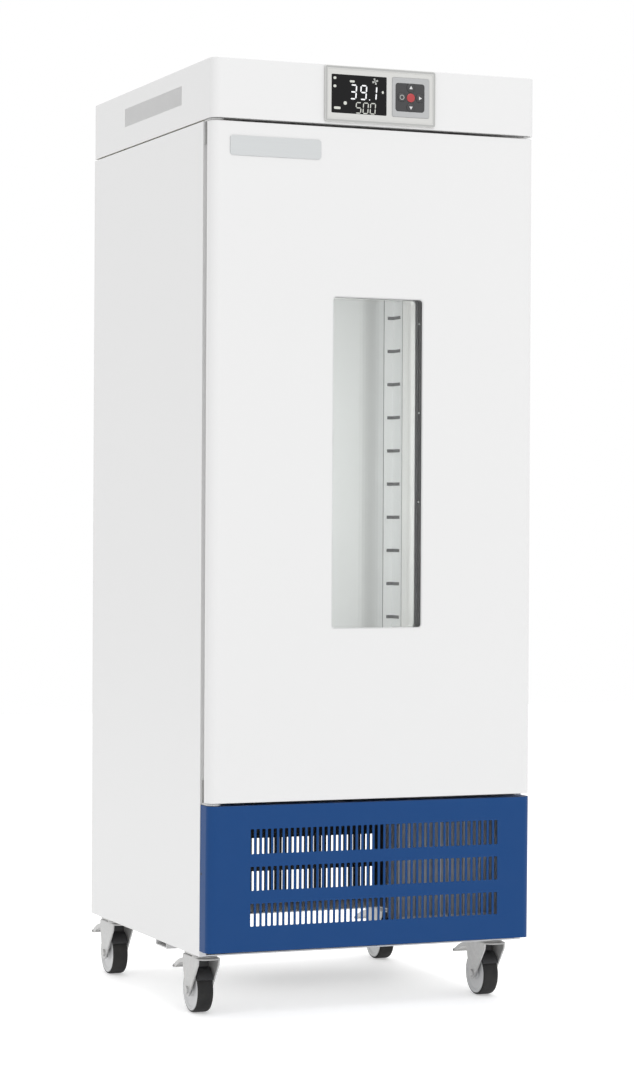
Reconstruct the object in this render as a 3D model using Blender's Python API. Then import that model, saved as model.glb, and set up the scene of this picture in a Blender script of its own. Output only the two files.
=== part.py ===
"""Bod incubator: a floor-standing cabinet with a glazed door, a blue plinth and four casters.

Metres, +Z up, front towards -Y. The origin is on the floor, under the middle of the bounding box.
Places are first worked out from the cabinet's left face (x), its front plane (y) and the floor (z),
and "place" then moves them into the part's own frame.
"""
import math

import bmesh
import bpy
from mathutils import Matrix, Vector

# Cabinet
WIDTH = 0.580
REAR_Y = 0.607
FACE_Y = 0.0387
BASE_Z = 0.1045
PLINTH_BOTTOM_Z = 0.113
PLINTH_TOP_Z = 0.3515
DOOR_BOTTOM_Z = 0.356
CARCASS_TOP_Z = 1.461
DOOR_TOP_GAP = 0.002
DOOR_TOP_Z = CARCASS_TOP_Z - DOOR_TOP_GAP
HOUSING_GAP = 0.0025
HOUSING_BOTTOM_Z = CARCASS_TOP_Z + HOUSING_GAP
HOUSING_HEIGHT = 0.0975
HOUSING_TOP_Z = HOUSING_BOTTOM_Z + HOUSING_HEIGHT
HOUSING_FRONT_Y = -0.003
SHEET = 0.0012
BASE_SHEET = 0.002
SEAT = 0.0003
CORNER_R = 0.015
FLANGE = 0.012

# Chamber
CHAMBER_SIDE = 0.055
CHAMBER_FLOOR_Z = 0.415
CHAMBER_ROOF = 0.056
CHAMBER_CEILING_Z = CARCASS_TOP_Z - CHAMBER_ROOF
REAR_WALL = 0.067
CHAMBER_BACK_Y = REAR_Y - REAR_WALL
CHAMBER_CORNER_R = 0.003
LINER_LIP_BOTTOM_Z = 0.352
BAY_CEILING_Z = 0.3575

# Door
DOOR_DEPTH = 0.020
DOOR_EDGE_R = 0.0012
GRIP_DEPTH = 0.018
PAN_STEP = 0.006
DYKE_CLEAR = 0.011
DYKE_Y = 0.052
GASKET_INSET = 0.020
GASKET_WIDTH = 0.022
WINDOW_X = (0.2134, 0.3758)
WINDOW_Z = (0.6367, 1.182)
WINDOW_R = 0.006
GLASS = 0.004
GLASS_LAP = 0.009
SPACER_DEPTH = 0.0245
HINGE_X = 0.016
HINGE_Y = 0.014
PIN_R = 0.004
PIN_CLEAR = 0.0006
PIN_REACH = 0.014
HINGE_PLATE = 0.003
HINGE_PLATE_W = 0.024
HINGE_TAB = 0.036
BADGE_X = (0.0319, 0.1908)
BADGE_DROP = 0.055
BADGE_HEIGHT = 0.032
BADGE_Z = (DOOR_TOP_Z - BADGE_DROP, DOOR_TOP_Z - BADGE_DROP + BADGE_HEIGHT)
BADGE_THICK = 0.0012

# Control panel
BEZEL_X = (0.1947, 0.3929)
BEZEL_RISE = 0.0035
BEZEL_DROP = 0.002
BEZEL_Z = (HOUSING_BOTTOM_Z + BEZEL_RISE, HOUSING_TOP_Z - BEZEL_DROP)
BEZEL_RIM = 0.0045
BEZEL_STEP = 0.0012
SCREEN_X = (0.2063, 0.3049)
SCREEN_RISE = 0.0146
SCREEN_DROP = 0.0139
SCREEN_Z = (BEZEL_Z[0] + SCREEN_RISE, BEZEL_Z[1] - SCREEN_DROP)
KEYPAD_X = (0.3144, 0.3819)
KEYPAD_RISE = 0.0140
KEYPAD_DROP = 0.0125
KEYPAD_Z = (BEZEL_Z[0] + KEYPAD_RISE, BEZEL_Z[1] - KEYPAD_DROP)
KEYPAD_HEIGHT = KEYPAD_Z[1] - KEYPAD_Z[0]
KEYPAD_MARGIN = 0.007
BUTTON_SHARE = 0.110
SPREAD_SHARE = 0.2473
BUTTON_R = BUTTON_SHARE * KEYPAD_HEIGHT
BUTTON_SPREAD = SPREAD_SHARE * KEYPAD_HEIGHT
BUTTON_STEM_R = 0.003
BUTTON_TRAVEL = 0.0008
BUTTON_CLEAR = 0.0004
BOARD_Y = 0.004
BOARD_THICK = 0.0016
BOARD_MARGIN = 0.004

# Louvres and vents
GRILLE_X = 0.0737
GRILLE_END = 0.0625
GRILLE_SLOTS = 45
GRILLE_SLOT_W = 0.006
GRILLE_PITCH = (WIDTH - GRILLE_X - GRILLE_END - GRILLE_SLOT_W) / (GRILLE_SLOTS - 1)
GRILLE_ROWS = ((0.155, 0.192), (0.213, 0.252), (0.2725, 0.313))
REAR_SLOT_END = 0.0283
REAR_SLOTS = 31
REAR_PITCH = 0.0099
REAR_SLOT_W = 0.006
REAR_SLOT_X = WIDTH - REAR_SLOT_END - (REAR_SLOTS - 1) * REAR_PITCH - REAR_SLOT_W
REAR_ROWS = ((0.126, 0.167), (0.187, 0.228))
HOUSING_VENT_Y = (0.145, 0.4375)
VENT_RISE = 0.0375
VENT_DROP = 0.0285
HOUSING_VENT_Z = (HOUSING_BOTTOM_Z + VENT_RISE, HOUSING_TOP_Z - VENT_DROP)
HOUSING_VENTS = 18
HOUSING_VENT_W = 0.0095
BASE_OPENING_W = 0.320
BASE_OPENING_END = 0.060
BASE_OPENING_X = (WIDTH - BASE_OPENING_END - BASE_OPENING_W, WIDTH - BASE_OPENING_END)
BASE_OPENING_Y = (0.325, 0.490)

# Base rail
RAIL_Y = (0.205, 0.260)
RAIL_DROP = 0.010

# Casters
WHEEL_R = 0.0375
WHEEL_W = 0.029
CASTER_X = 0.030
CASTER_FRONT = 0.095
CASTER_REAR = 0.072
CASTER_Y = (CASTER_FRONT, REAR_Y - CASTER_REAR)
TRAIL = 0.030
FORK_W = 0.039
FORK_SHEET = 0.0025
CROWN_TOP_Z = 0.0958
CROWN_Y = (-0.031, 0.054)
LEG_SHOULDER_Z = 0.084
LEG_BOSS_R = 0.011
AXLE_HEAD = 0.003
RACE_H = 0.0027
AXLE_R = 0.004
AXLE_CLEAR = 0.0005
RACE_R = 0.021
KINGPIN_R = 0.005
TOP_PLATE = 0.003
TOP_PLATE_HALF = 0.027
PEDAL_W = 0.026
PEDAL_SHEET = 0.0022
PEDAL_PIN_R = 0.003
PEDAL_PIVOT = (0.044, 0.084)

# Shelf posts and shelves
POST_LEG = 0.018
POST_DEPTH = 0.040
POST_SHEET = 0.0012
POST_FRONT_Y = 0.090
POST_SLOT_H = 0.006
POST_PITCH = 0.0605
POST_WEB = 0.006
POST_FIRST_Z = 0.516
POST_SLOTS = 13
SHELF_LEVELS = {"lower_shelf": 0, "upper_shelf": 12}
SHELF_FRAME = 0.006
SHELF_THICK = 0.004
SHELF_WIRE = 0.003
SHELF_WIRES = 9
SHELF_CLEAR = 0.004
SHELF_EAR = 0.012

# Air duct
DUCT_DEPTH = 0.078
DUCT_RISE = 0.030
DUCT_FLANGE_Y = CHAMBER_BACK_Y - DUCT_DEPTH
DUCT_HUMP_Y = DUCT_FLANGE_Y - DUCT_RISE
DUCT_FLANGE_W = 0.022
DUCT_ROLL = 0.058
DUCT_STEPS = 8
FAN_SLOTS = 7
FAN_SLOT_H = 0.009
FAN_SLOT_PITCH = 0.017
RETURN_SLOTS = 8
RETURN_PITCH = 0.030
RETURN_W = 0.012
RETURN_RISE = 0.030
RETURN_H = 0.060
FAN_X = WIDTH / 2
FAN_DROP = 0.115
FAN_Z = CHAMBER_CEILING_Z - FAN_DROP
FAN_R = 0.062
FAN_HUB_R = 0.018
FAN_SETBACK = 0.014
FAN_Y = DUCT_HUMP_Y + FAN_SETBACK
FAN_SHAFT_R = 0.004
FAN_DEPTH = 0.020
MOTOR_R = 0.032
MOTOR_DEPTH = 0.058
MOTOR_FRONT_Y = CHAMBER_BACK_Y - MOTOR_DEPTH
MOTOR_FLANGE = 0.004
EVAPORATOR_DEPTH = 0.048
EVAPORATOR_Y = CHAMBER_BACK_Y - EVAPORATOR_DEPTH
EVAPORATOR_FRAME = 0.005
EVAPORATOR_FINS = 12
FIN_THICK = 0.0015
HEATER_END = 0.150
HEATER_X = (HEATER_END, WIDTH - HEATER_END)
HEATER_Z = 0.560
HEATER_STAND = 0.035
HEATER_Y = CHAMBER_BACK_Y - HEATER_STAND
HEATER_R = 0.004
HEATER_RUN = 0.045
HEATER_TURNS = 3
HEATER_TOP_Z = HEATER_Z + (HEATER_TURNS - 1) * HEATER_RUN
HEATER_BEND = 0.016
EVAPORATOR_END = 0.130
EVAPORATOR_RISE = 0.050
EVAPORATOR_HEIGHT = 0.380
EVAPORATOR_X = (EVAPORATOR_END, WIDTH - EVAPORATOR_END)
EVAPORATOR_LOW_Z = HEATER_TOP_Z + EVAPORATOR_RISE
EVAPORATOR_Z = (EVAPORATOR_LOW_Z, EVAPORATOR_LOW_Z + EVAPORATOR_HEIGHT)

# Refrigeration bay
COMPRESSOR_X = 0.120
COMPRESSOR_Y = 0.430
COMPRESSOR_R = 0.070
COMPRESSOR_FOOT_Z = 0.014
COMPRESSOR_TOP_Z = 0.285
CONDENSER_W = 0.186
CONDENSER_END = 0.032
CONDENSER_X = (WIDTH - CONDENSER_END - CONDENSER_W, WIDTH - CONDENSER_END)
CONDENSER_Y = (0.058, 0.104)
CONDENSER_Z = (0.143, 0.340)
CONDENSER_FINS = 12
CONDENSER_FRAME = 0.006
CONDENSER_FOOT = 0.030
COOLER_FAN_R = 0.074
COOLER_FAN_HUB_R = 0.021
COOLER_FAN_CLEAR = 0.004
COOLER_FAN_DEPTH = 0.016
SHROUD_DEPTH = 0.036
SHROUD_MOTOR = 0.010
BLADES = 5
BLADE_PITCH = 32
BLADE_THICK = 0.0016
INLET_X = 0.080
INLET_Z = 0.290
INLET_SIZE = (0.027, 0.020)
INLET_DEPTH = 0.020

# The bounding box runs from the control panel's buttons to the rear casters' brake pedals.
BUTTON_FRONT_Y = HOUSING_FRONT_Y - 0.0044
PEDAL_TIP_Y = CASTER_Y[1] + TRAIL + 0.0915
MIDDLE = Vector((WIDTH / 2, (BUTTON_FRONT_Y + PEDAL_TIP_Y) / 2, 0.0))

PALETTE = {
    "white_paint": ((0.86, 0.86, 0.85), 0.38, 0.0),
    "blue_paint": ((0.019, 0.080, 0.215), 0.40, 0.0),
    "light_grey_plastic": ((0.60, 0.61, 0.61), 0.45, 0.0),
    "black_plastic": ((0.010, 0.010, 0.011), 0.35, 0.0),
    "silver_plastic": ((0.55, 0.56, 0.57), 0.35, 0.3),
    "red_plastic": ((0.55, 0.03, 0.03), 0.40, 0.0),
    "rubber": ((0.028, 0.028, 0.030), 0.75, 0.0),
    "grey_rubber": ((0.30, 0.31, 0.32), 0.70, 0.0),
    "steel": ((0.62, 0.62, 0.62), 0.32, 0.9),
    "aluminium": ((0.66, 0.67, 0.68), 0.36, 0.9),
    "foam": ((0.72, 0.64, 0.40), 0.90, 0.0),
    "glass": ((0.85, 0.90, 0.90), 0.05, 0.0),
    "board": ((0.02, 0.14, 0.06), 0.50, 0.0),
    "black_paint": ((0.012, 0.012, 0.013), 0.45, 0.0),
}


def clear_scene():
    """Empty the scene before the model is built."""
    for item in list(bpy.data.objects):
        bpy.data.objects.remove(item, do_unlink=True)


def paint(name, look):
    """A Principled material of the piece's own, coloured from the palette."""
    color, roughness, metallic = PALETTE[look]
    material = bpy.data.materials.new(name + "_finish")
    material.use_nodes = True
    shader = material.node_tree.nodes["Principled BSDF"]
    shader.inputs["Base Color"].default_value = (*color, 1.0)
    shader.inputs["Roughness"].default_value = roughness
    shader.inputs["Metallic"].default_value = metallic
    if look == "glass":
        shader.inputs["Transmission Weight"].default_value = 0.9
    material.diffuse_color = (*color, 1.0)
    return material


def to_mesh(bm, name):
    """Close a bmesh into a mesh with its faces pointing out."""
    bmesh.ops.recalc_face_normals(bm, faces=bm.faces)
    mesh = bpy.data.meshes.new(name)
    bm.to_mesh(mesh)
    bm.free()
    return mesh


def show(name, mesh, look, pivot=None, parent=None, smooth=False):
    """Place a mesh as a named object, with its origin at its pivot where it has one."""
    origin = Vector(pivot) if pivot is not None else MIDDLE
    mesh.transform(Matrix.Translation(-origin))
    if smooth:
        mesh.shade_smooth()
        mesh.set_sharp_from_angle(angle=math.radians(35))
    item = bpy.data.objects.new(name, mesh)
    bpy.context.collection.objects.link(item)
    mesh.materials.append(paint(name, look))
    world = origin - MIDDLE
    if parent is not None:
        item.parent = parent
        world = world - parent.location
    item.location = world
    return item


def pivot_empty(name, point):
    """An empty on a joint's axis, which carries the pieces of one moving body."""
    empty = bpy.data.objects.new(name, None)
    empty.location = Vector(point) - MIDDLE
    bpy.context.collection.objects.link(empty)
    return empty


def to_axis(axis, u, v, h):
    """Turn profile coordinates into x, y and z: h runs along the axis."""
    if axis == "x":
        return Vector((h, u, v))
    if axis == "y":
        return Vector((u, h, v))
    return Vector((u, v, h))


def corner_loop(bm, axis, rect, h, steps):
    """One rounded rectangle of vertices: rect is u0, u1, v0, v1 and one radius for each corner."""
    u0, u1, v0, v1 = rect[:4]
    radii = rect[4] if isinstance(rect[4], tuple) else (rect[4],) * 4
    corners = ((u0, v0, 1, 1, 180), (u1, v0, -1, 1, 270), (u1, v1, -1, -1, 0), (u0, v1, 1, -1, 90))
    verts = []
    for (cu, cv, su, sv, start), radius in zip(corners, radii):
        if steps == 0:
            verts.append(bm.verts.new(to_axis(axis, cu, cv, h)))
            continue
        for step in range(steps + 1):
            angle = math.radians(start + 90 * step / steps)
            u = cu + su * radius + radius * math.cos(angle)
            v = cv + sv * radius + radius * math.sin(angle)
            verts.append(bm.verts.new(to_axis(axis, u, v, h)))
    return verts


def skin(bm, loops, closed):
    """Bridge each loop to the next with quads; the last meets the first in a closed skin."""
    pairs = list(zip(loops, loops[1:]))
    if closed:
        pairs.append((loops[-1], loops[0]))
    for one, two in pairs:
        count = len(one)
        for i in range(count):
            j = (i + 1) % count
            bm.faces.new((one[i], one[j], two[j], two[i]))
    if not closed:
        bm.faces.new(loops[0])
        bm.faces.new(tuple(reversed(loops[-1])))


def formed(name, axis, stations, closed=False, steps=3):
    """A pressed or moulded form: rounded rectangles (rect, h) joined in turn along the axis."""
    bm = bmesh.new()
    loops = [corner_loop(bm, axis, rect, h, steps) for rect, h in stations]
    skin(bm, loops, closed)
    return to_mesh(bm, name)


def inset(rect, by, radius=None):
    """The same rectangle, moved in on every side."""
    u0, u1, v0, v1 = rect[:4]
    old = rect[4] if len(rect) > 4 else 0.0
    return (u0 + by, u1 - by, v0 + by, v1 - by, old if radius is None else radius)


def extrude(name, axis, outline, h0, h1):
    """A straight extrusion of an outline of u, v points."""
    bm = bmesh.new()
    ends = [[bm.verts.new(to_axis(axis, u, v, h)) for u, v in outline] for h in (h0, h1)]
    skin(bm, ends, False)
    return to_mesh(bm, name)


def block(name, x, y, z):
    """A plain box between three pairs of limits."""
    return extrude(name, "z", [(x[0], y[0]), (x[1], y[0]), (x[1], y[1]), (x[0], y[1])], z[0], z[1])


def turned(name, axis, centre, profile, sides=24, ring=False):
    """A turned form: radius and height pairs, spun round an axis through the centre (u, v)."""
    bm = bmesh.new()
    loops = []
    for radius, h in profile:
        points = []
        for i in range(sides):
            angle = math.tau * i / sides
            u = centre[0] + radius * math.cos(angle)
            v = centre[1] + radius * math.sin(angle)
            points.append(bm.verts.new(to_axis(axis, u, v, h)))
        loops.append(points)
    skin(bm, loops, ring)
    return to_mesh(bm, name)


def rod(name, axis, centre, radius, h0, h1, sides=16):
    """A round rod along an axis."""
    return turned(name, axis, centre, [(radius, h0), (radius, h1)], sides)


def arc(cu, cv, radius, start, end, steps):
    """Points on an arc, its angles in degrees."""
    angles = [math.radians(start + (end - start) * i / steps) for i in range(steps + 1)]
    return [(cu + radius * math.cos(a), cv + radius * math.sin(a)) for a in angles]


def strip(points, thick):
    """The outline of a bent strip: a line of points, and the same line moved to its left."""
    moved = []
    for i, (u, v) in enumerate(points):
        before = Vector(points[i]) - Vector(points[i - 1]) if i else None
        after = Vector(points[i + 1]) - Vector(points[i]) if i + 1 < len(points) else None
        one = (before or after).normalized()
        two = (after or before).normalized()
        mitre = (one + two).normalized()
        reach = thick / mitre.dot(one)
        moved.append((u - mitre.y * reach, v + mitre.x * reach))
    return list(points) + moved[::-1]


def merged(name, meshes):
    """Several meshes in one, for a cutter that cuts a whole pattern."""
    bm = bmesh.new()
    for mesh in meshes:
        bm.from_mesh(mesh)
    return to_mesh(bm, name)


def combine(base, operation, *tools):
    """Boolean each tool mesh with the base mesh, and return the finished mesh."""
    host = bpy.data.objects.new("boolean_host", base)
    bpy.context.collection.objects.link(host)
    helpers = []
    for tool in tools:
        helper = bpy.data.objects.new("boolean_tool", tool)
        bpy.context.collection.objects.link(helper)
        helper.hide_render = True
        helper.display_type = "WIRE"
        modifier = host.modifiers.new("boolean", "BOOLEAN")
        modifier.operation = operation
        modifier.object = helper
        helpers.append(helper)
    graph = bpy.context.evaluated_depsgraph_get()
    result = bpy.data.meshes.new_from_object(host.evaluated_get(graph))
    for item in [host] + helpers:
        bpy.data.objects.remove(item, do_unlink=True)
    return result


def cut(base, *tools):
    """Cut each tool out of the base."""
    return combine(base, "DIFFERENCE", *tools)


def join(base, *tools):
    """Join each tool to the base as one solid."""
    return combine(base, "UNION", *tools)


def slot_rows(axis, first, count, pitch, width, rows, h):
    """Box cutters for rows of upright slots: first slot's edge, pitch and width run along u."""
    cutters = []
    for low, high in rows:
        for i in range(count):
            u = first + i * pitch
            outline = [(u, low), (u + width, low), (u + width, high), (u, high)]
            cutters.append(extrude("slot", axis, outline, h[0], h[1]))
    return merged("slots", cutters)


def mirrored(mesh, name):
    """A copy of a mesh, mirrored in the cabinet's middle plane."""
    copy = mesh.copy()
    copy.name = name
    copy.transform(Matrix.Translation((WIDTH, 0.0, 0.0)) @ Matrix.Scale(-1.0, 4, (1.0, 0.0, 0.0)))
    copy.flip_normals()
    return copy


# Limits that several pieces share
INNER_X = (SHEET + SEAT, WIDTH - SHEET - SEAT)
INNER_Y = (FACE_Y + SHEET + SEAT, REAR_Y - 2 * SHEET - 2 * SEAT)
EDGE_R = 0.001
HINGE = (HINGE_X, HINGE_Y, DOOR_BOTTOM_Z)
CHAMBER = (CHAMBER_SIDE, WIDTH - CHAMBER_SIDE, CHAMBER_FLOOR_Z, CHAMBER_CEILING_Z, CHAMBER_CORNER_R)
CHAMBER_SPAN = (CHAMBER_FLOOR_Z + CHAMBER_CORNER_R, CHAMBER_CEILING_Z - CHAMBER_CORNER_R)
DOOR_RECT = (0.0, WIDTH, DOOR_BOTTOM_Z, DOOR_TOP_Z, EDGE_R)
PLINTH_RECT = (0.0, WIDTH, PLINTH_BOTTOM_Z, PLINTH_TOP_Z, EDGE_R)
WINDOW = (*WINDOW_X, *WINDOW_Z, WINDOW_R)
PANE = inset(WINDOW, -GLASS_LAP)
PANE_Y = SHEET + SEAT
SPACER_Y = PANE_Y + GLASS + SEAT
INNER_PANE_Y = SPACER_Y + SPACER_DEPTH + SEAT
REVEAL_Y = INNER_PANE_Y + GLASS + SEAT
PAN_Y = DOOR_DEPTH + PAN_STEP
BEZEL_BACK_Y = HOUSING_FRONT_Y - SEAT
BEZEL_FRONT_Y = BUTTON_FRONT_Y + 0.0004
KEYPAD_MID = (sum(KEYPAD_X) / 2, sum(KEYPAD_Z) / 2)
BUTTONS = {
    "up_button": (0, 1),
    "down_button": (0, -1),
    "left_button": (-1, 0),
    "right_button": (1, 0),
    "centre_button": (0, 0),
}


def side_panels():
    """Folded side sheets, with a narrow flange at the front and the rear."""
    rear = INNER_Y[1] + SEAT
    outline = [
        (0.0, FACE_Y),
        (FLANGE, FACE_Y),
        (FLANGE, FACE_Y + SHEET),
        (SHEET, FACE_Y + SHEET),
        (SHEET, rear),
        (FLANGE, rear),
        (FLANGE, rear + SHEET),
        (0.0, rear + SHEET),
    ]
    left = extrude("left_side_panel", "z", outline, BASE_Z, CARCASS_TOP_Z)
    right = mirrored(left, "right_side_panel")
    show("left_side_panel", left, "white_paint")
    show("right_side_panel", right, "white_paint")


def inlet_rect(grow):
    """The power inlet's rectangle on the rear panel, grown on every side."""
    half = (INLET_SIZE[0] / 2 + grow, INLET_SIZE[1] / 2 + grow)
    return (INLET_X - half[0], INLET_X + half[0], INLET_Z - half[1], INLET_Z + half[1], 0.002)


def rear_panel():
    """The rear sheet, with two rows of air slots and the inlet's opening."""
    depth = (REAR_Y - SHEET, REAR_Y)
    past = (depth[0] - 0.002, depth[1] + 0.002)
    sheet = block("rear_panel", (0.0, WIDTH), depth, (BASE_Z, CARCASS_TOP_Z))
    slots = slot_rows("y", REAR_SLOT_X, REAR_SLOTS, REAR_PITCH, REAR_SLOT_W, REAR_ROWS, past)
    opening = formed("opening", "y", [(inlet_rect(SEAT), past[0]), (inlet_rect(SEAT), past[1])])
    show("rear_panel", cut(sheet, slots, opening), "white_paint")


def power_inlet():
    """A panel-mounted inlet: a flange outside, a shroud with a recess, and three flat pins in it."""
    body = inlet_rect(0.0)
    flange = inlet_rect(0.004)
    recess = inlet_rect(-0.002)
    outer = REAR_Y + SEAT
    floor = REAR_Y - 0.012
    stations = [
        (body, REAR_Y - INLET_DEPTH),
        (body, outer),
        (flange, outer),
        (flange, outer + 0.0025),
        (recess, outer + 0.0025),
        (recess, floor),
    ]
    mesh = formed("power_inlet", "y", stations, steps=1)
    pins = []
    for dx, dz in ((-0.007, -0.002), (0.0, 0.002), (0.007, -0.002)):
        x = (INLET_X + dx - 0.001, INLET_X + dx + 0.001)
        z = (INLET_Z + dz - 0.002, INLET_Z + dz + 0.002)
        pins.append(block("pin", x, (floor - 0.001, REAR_Y - 0.002), z))
    show("power_inlet", join(mesh, *pins), "black_plastic")


def base_frame():
    """The base sheet with its air opening, and the folded cross rail welded under it."""
    sheet = block("base_frame", INNER_X, INNER_Y, (BASE_Z, BASE_Z + BASE_SHEET))
    opening = block("opening", BASE_OPENING_X, BASE_OPENING_Y, (BASE_Z - 0.01, BASE_Z + 0.01))
    top = BASE_Z + BASE_SHEET / 2
    low = BASE_Z - RAIL_DROP
    line = [(RAIL_Y[0], top), (RAIL_Y[0], low), (RAIL_Y[1], low), (RAIL_Y[1], top)]
    ends = (INNER_X[0] + SHEET, INNER_X[1] - SHEET)
    rail = extrude("rail", "x", strip(line, BASE_SHEET), *ends)
    show("base_frame", join(cut(sheet, opening), rail), "white_paint")


def bay_ceiling():
    """The sheet that closes the refrigeration bay under the chamber's foam."""
    mesh = block("bay_ceiling", INNER_X, INNER_Y, (BAY_CEILING_Z, BAY_CEILING_Z + SHEET))
    show("bay_ceiling", mesh, "white_paint")


def chamber_liner():
    """The chamber's one-piece lining, open to the front, with the lip that the gasket closes on."""
    lip = (FLANGE + SEAT, WIDTH - FLANGE - SEAT, LINER_LIP_BOTTOM_Z, CARCASS_TOP_Z, EDGE_R)
    outside = inset(CHAMBER, -SHEET, CHAMBER_CORNER_R + SHEET)
    stations = [
        (CHAMBER, CHAMBER_BACK_Y),
        (CHAMBER, FACE_Y),
        (lip, FACE_Y),
        (lip, FACE_Y + SHEET),
        (outside, FACE_Y + SHEET),
        (outside, CHAMBER_BACK_Y + SHEET),
    ]
    show("chamber_liner", formed("chamber_liner", "y", stations, steps=1), "white_paint")


def insulation():
    """The foam between the lining and the outer sheets."""
    outer = (*INNER_X, BAY_CEILING_Z + SHEET + SEAT, CARCASS_TOP_Z, EDGE_R)
    grown = SHEET + SEAT
    cavity = inset(CHAMBER, -grown, CHAMBER_CORNER_R + grown)
    stations = [
        (outer, INNER_Y[1]),
        (outer, INNER_Y[0]),
        (cavity, INNER_Y[0]),
        (cavity, CHAMBER_BACK_Y + grown),
    ]
    show("insulation", formed("insulation", "y", stations, steps=1), "foam")


def stem_holes(depth, radius):
    """Round cutters on the five buttons' axes."""
    holes = []
    for du, dv in BUTTONS.values():
        centre = (KEYPAD_MID[0] + du * BUTTON_SPREAD, KEYPAD_MID[1] + dv * BUTTON_SPREAD)
        holes.append(rod("hole", "y", centre, radius, *depth, sides=12))
    return merged("holes", holes)


def top_housing():
    """The control housing: a hollow lid with a seating ring, side vents and the button holes."""
    outer = (0.0, WIDTH, HOUSING_FRONT_Y, REAR_Y, (CORNER_R, CORNER_R, 0.003, 0.003))
    inner = inset(outer, SHEET, (CORNER_R - SHEET, CORNER_R - SHEET, 0.002, 0.002))
    ring = (0.008, WIDTH - 0.008, FACE_Y + SEAT, REAR_Y - 0.008, 0.003)
    ring_inner = inset(ring, FLANGE)
    top_r = 0.002
    stations = []
    for step in range(2):
        angle = math.radians(90 - 90 * step)
        by = top_r * (1 - math.cos(angle))
        radii = tuple(r - by for r in outer[4])
        stations.append((inset(outer, by, radii), HOUSING_TOP_Z - top_r * (1 - math.sin(angle))))
    stations += [
        (outer, HOUSING_BOTTOM_Z),
        (ring, HOUSING_BOTTOM_Z),
        (ring, CARCASS_TOP_Z + SEAT),
        (ring_inner, CARCASS_TOP_Z + SEAT),
        (ring_inner, HOUSING_BOTTOM_Z + SHEET),
        (inner, HOUSING_BOTTOM_Z + SHEET),
        (inner, HOUSING_TOP_Z - SHEET),
    ]
    shell = formed("top_housing", "z", stations, steps=3)
    span = HOUSING_VENT_Y[1] - HOUSING_VENT_Y[0]
    pitch = (span - HOUSING_VENT_W) / (HOUSING_VENTS - 1)
    vents = []
    for side in ((-0.002, SHEET + 0.002), (WIDTH - SHEET - 0.002, WIDTH + 0.002)):
        rows = (HOUSING_VENT_Z,)
        vents.append(slot_rows("x", HOUSING_VENT_Y[0], HOUSING_VENTS, pitch, HOUSING_VENT_W, rows, side))
    front = (HOUSING_FRONT_Y - 0.002, HOUSING_FRONT_Y + SHEET + 0.002)
    holes = stem_holes(front, BUTTON_STEM_R + BUTTON_CLEAR)
    show("top_housing", cut(shell, *vents, holes), "white_paint", smooth=True)


def control_panel():
    """The bezel on the housing's front, with its screen, keypad plate, buttons and board."""
    bezel = (*BEZEL_X, *BEZEL_Z, 0.003)
    field_y = BEZEL_FRONT_Y + BEZEL_STEP
    stations = [
        (bezel, BEZEL_BACK_Y),
        (bezel, BEZEL_FRONT_Y + 0.0006),
        (inset(bezel, 0.0006), BEZEL_FRONT_Y),
        (inset(bezel, BEZEL_RIM, 0.0025), BEZEL_FRONT_Y),
        (inset(bezel, BEZEL_RIM + 0.0006, 0.0025), field_y),
    ]
    past = (BEZEL_BACK_Y + 0.001, BEZEL_FRONT_Y - 0.001)
    screen = (*SCREEN_X, *SCREEN_Z, 0.0015)
    plate = (*KEYPAD_X, *KEYPAD_Z, 0.003)
    openings = [formed("opening", "y", [(rect, past[0]), (rect, past[1])]) for rect in (screen, plate)]
    show("control_bezel", cut(formed("control_bezel", "y", stations), *openings), "light_grey_plastic")

    glass = inset(screen, SEAT)
    glass_y = field_y + 0.0004
    window = [(glass, BEZEL_BACK_Y), (glass, glass_y)]
    show("display_screen", formed("display_screen", "y", window), "black_plastic")

    seat = inset(plate, SEAT)
    pad = inset(plate, KEYPAD_MARGIN, 0.008)
    plate_y = field_y + 0.0008
    stations = [(seat, BEZEL_BACK_Y), (seat, plate_y), (pad, plate_y), (pad, field_y)]
    past = (BEZEL_BACK_Y + 0.001, BEZEL_FRONT_Y - 0.001)
    keypad = cut(formed("keypad_plate", "y", stations), stem_holes(past, BUTTON_R + BUTTON_CLEAR))
    show("keypad_plate", keypad, "silver_plastic")


def buttons():
    """Five round keys, each a cap with a stem that reaches to its switch on the board."""
    cap_back = HOUSING_FRONT_Y - BUTTON_TRAVEL - 0.0006
    stem_end = BOARD_Y - BUTTON_TRAVEL - BUTTON_CLEAR
    for name, (du, dv) in BUTTONS.items():
        centre = (KEYPAD_MID[0] + du * BUTTON_SPREAD, KEYPAD_MID[1] + dv * BUTTON_SPREAD)
        profile = [
            (BUTTON_R, BUTTON_FRONT_Y),
            (BUTTON_R, cap_back),
            (BUTTON_STEM_R, cap_back),
            (BUTTON_STEM_R, stem_end),
        ]
        mesh = turned(name, "y", centre, profile, sides=14)
        look = "red_plastic" if name == "centre_button" else "silver_plastic"
        show(name, mesh, look, pivot=(centre[0], BUTTON_FRONT_Y, centre[1]), smooth=True)


def control_board():
    """The circuit board behind the panel, on four standoffs."""
    x = (BEZEL_X[0] + BOARD_MARGIN, BEZEL_X[1] - BOARD_MARGIN)
    z = (BEZEL_Z[0] + BOARD_MARGIN, BEZEL_Z[1] - BOARD_MARGIN)
    board = block("control_board", x, (BOARD_Y, BOARD_Y + BOARD_THICK), z)
    start = HOUSING_FRONT_Y + SHEET + SEAT
    feet = []
    for cx in (x[0] + 0.006, x[1] - 0.006):
        for cz in (z[0] + 0.006, z[1] - 0.006):
            feet.append(rod("standoff", "y", (cx, cz), 0.003, start, BOARD_Y + 0.0008, sides=6))
    show("control_board", join(board, *feet), "board")


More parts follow.
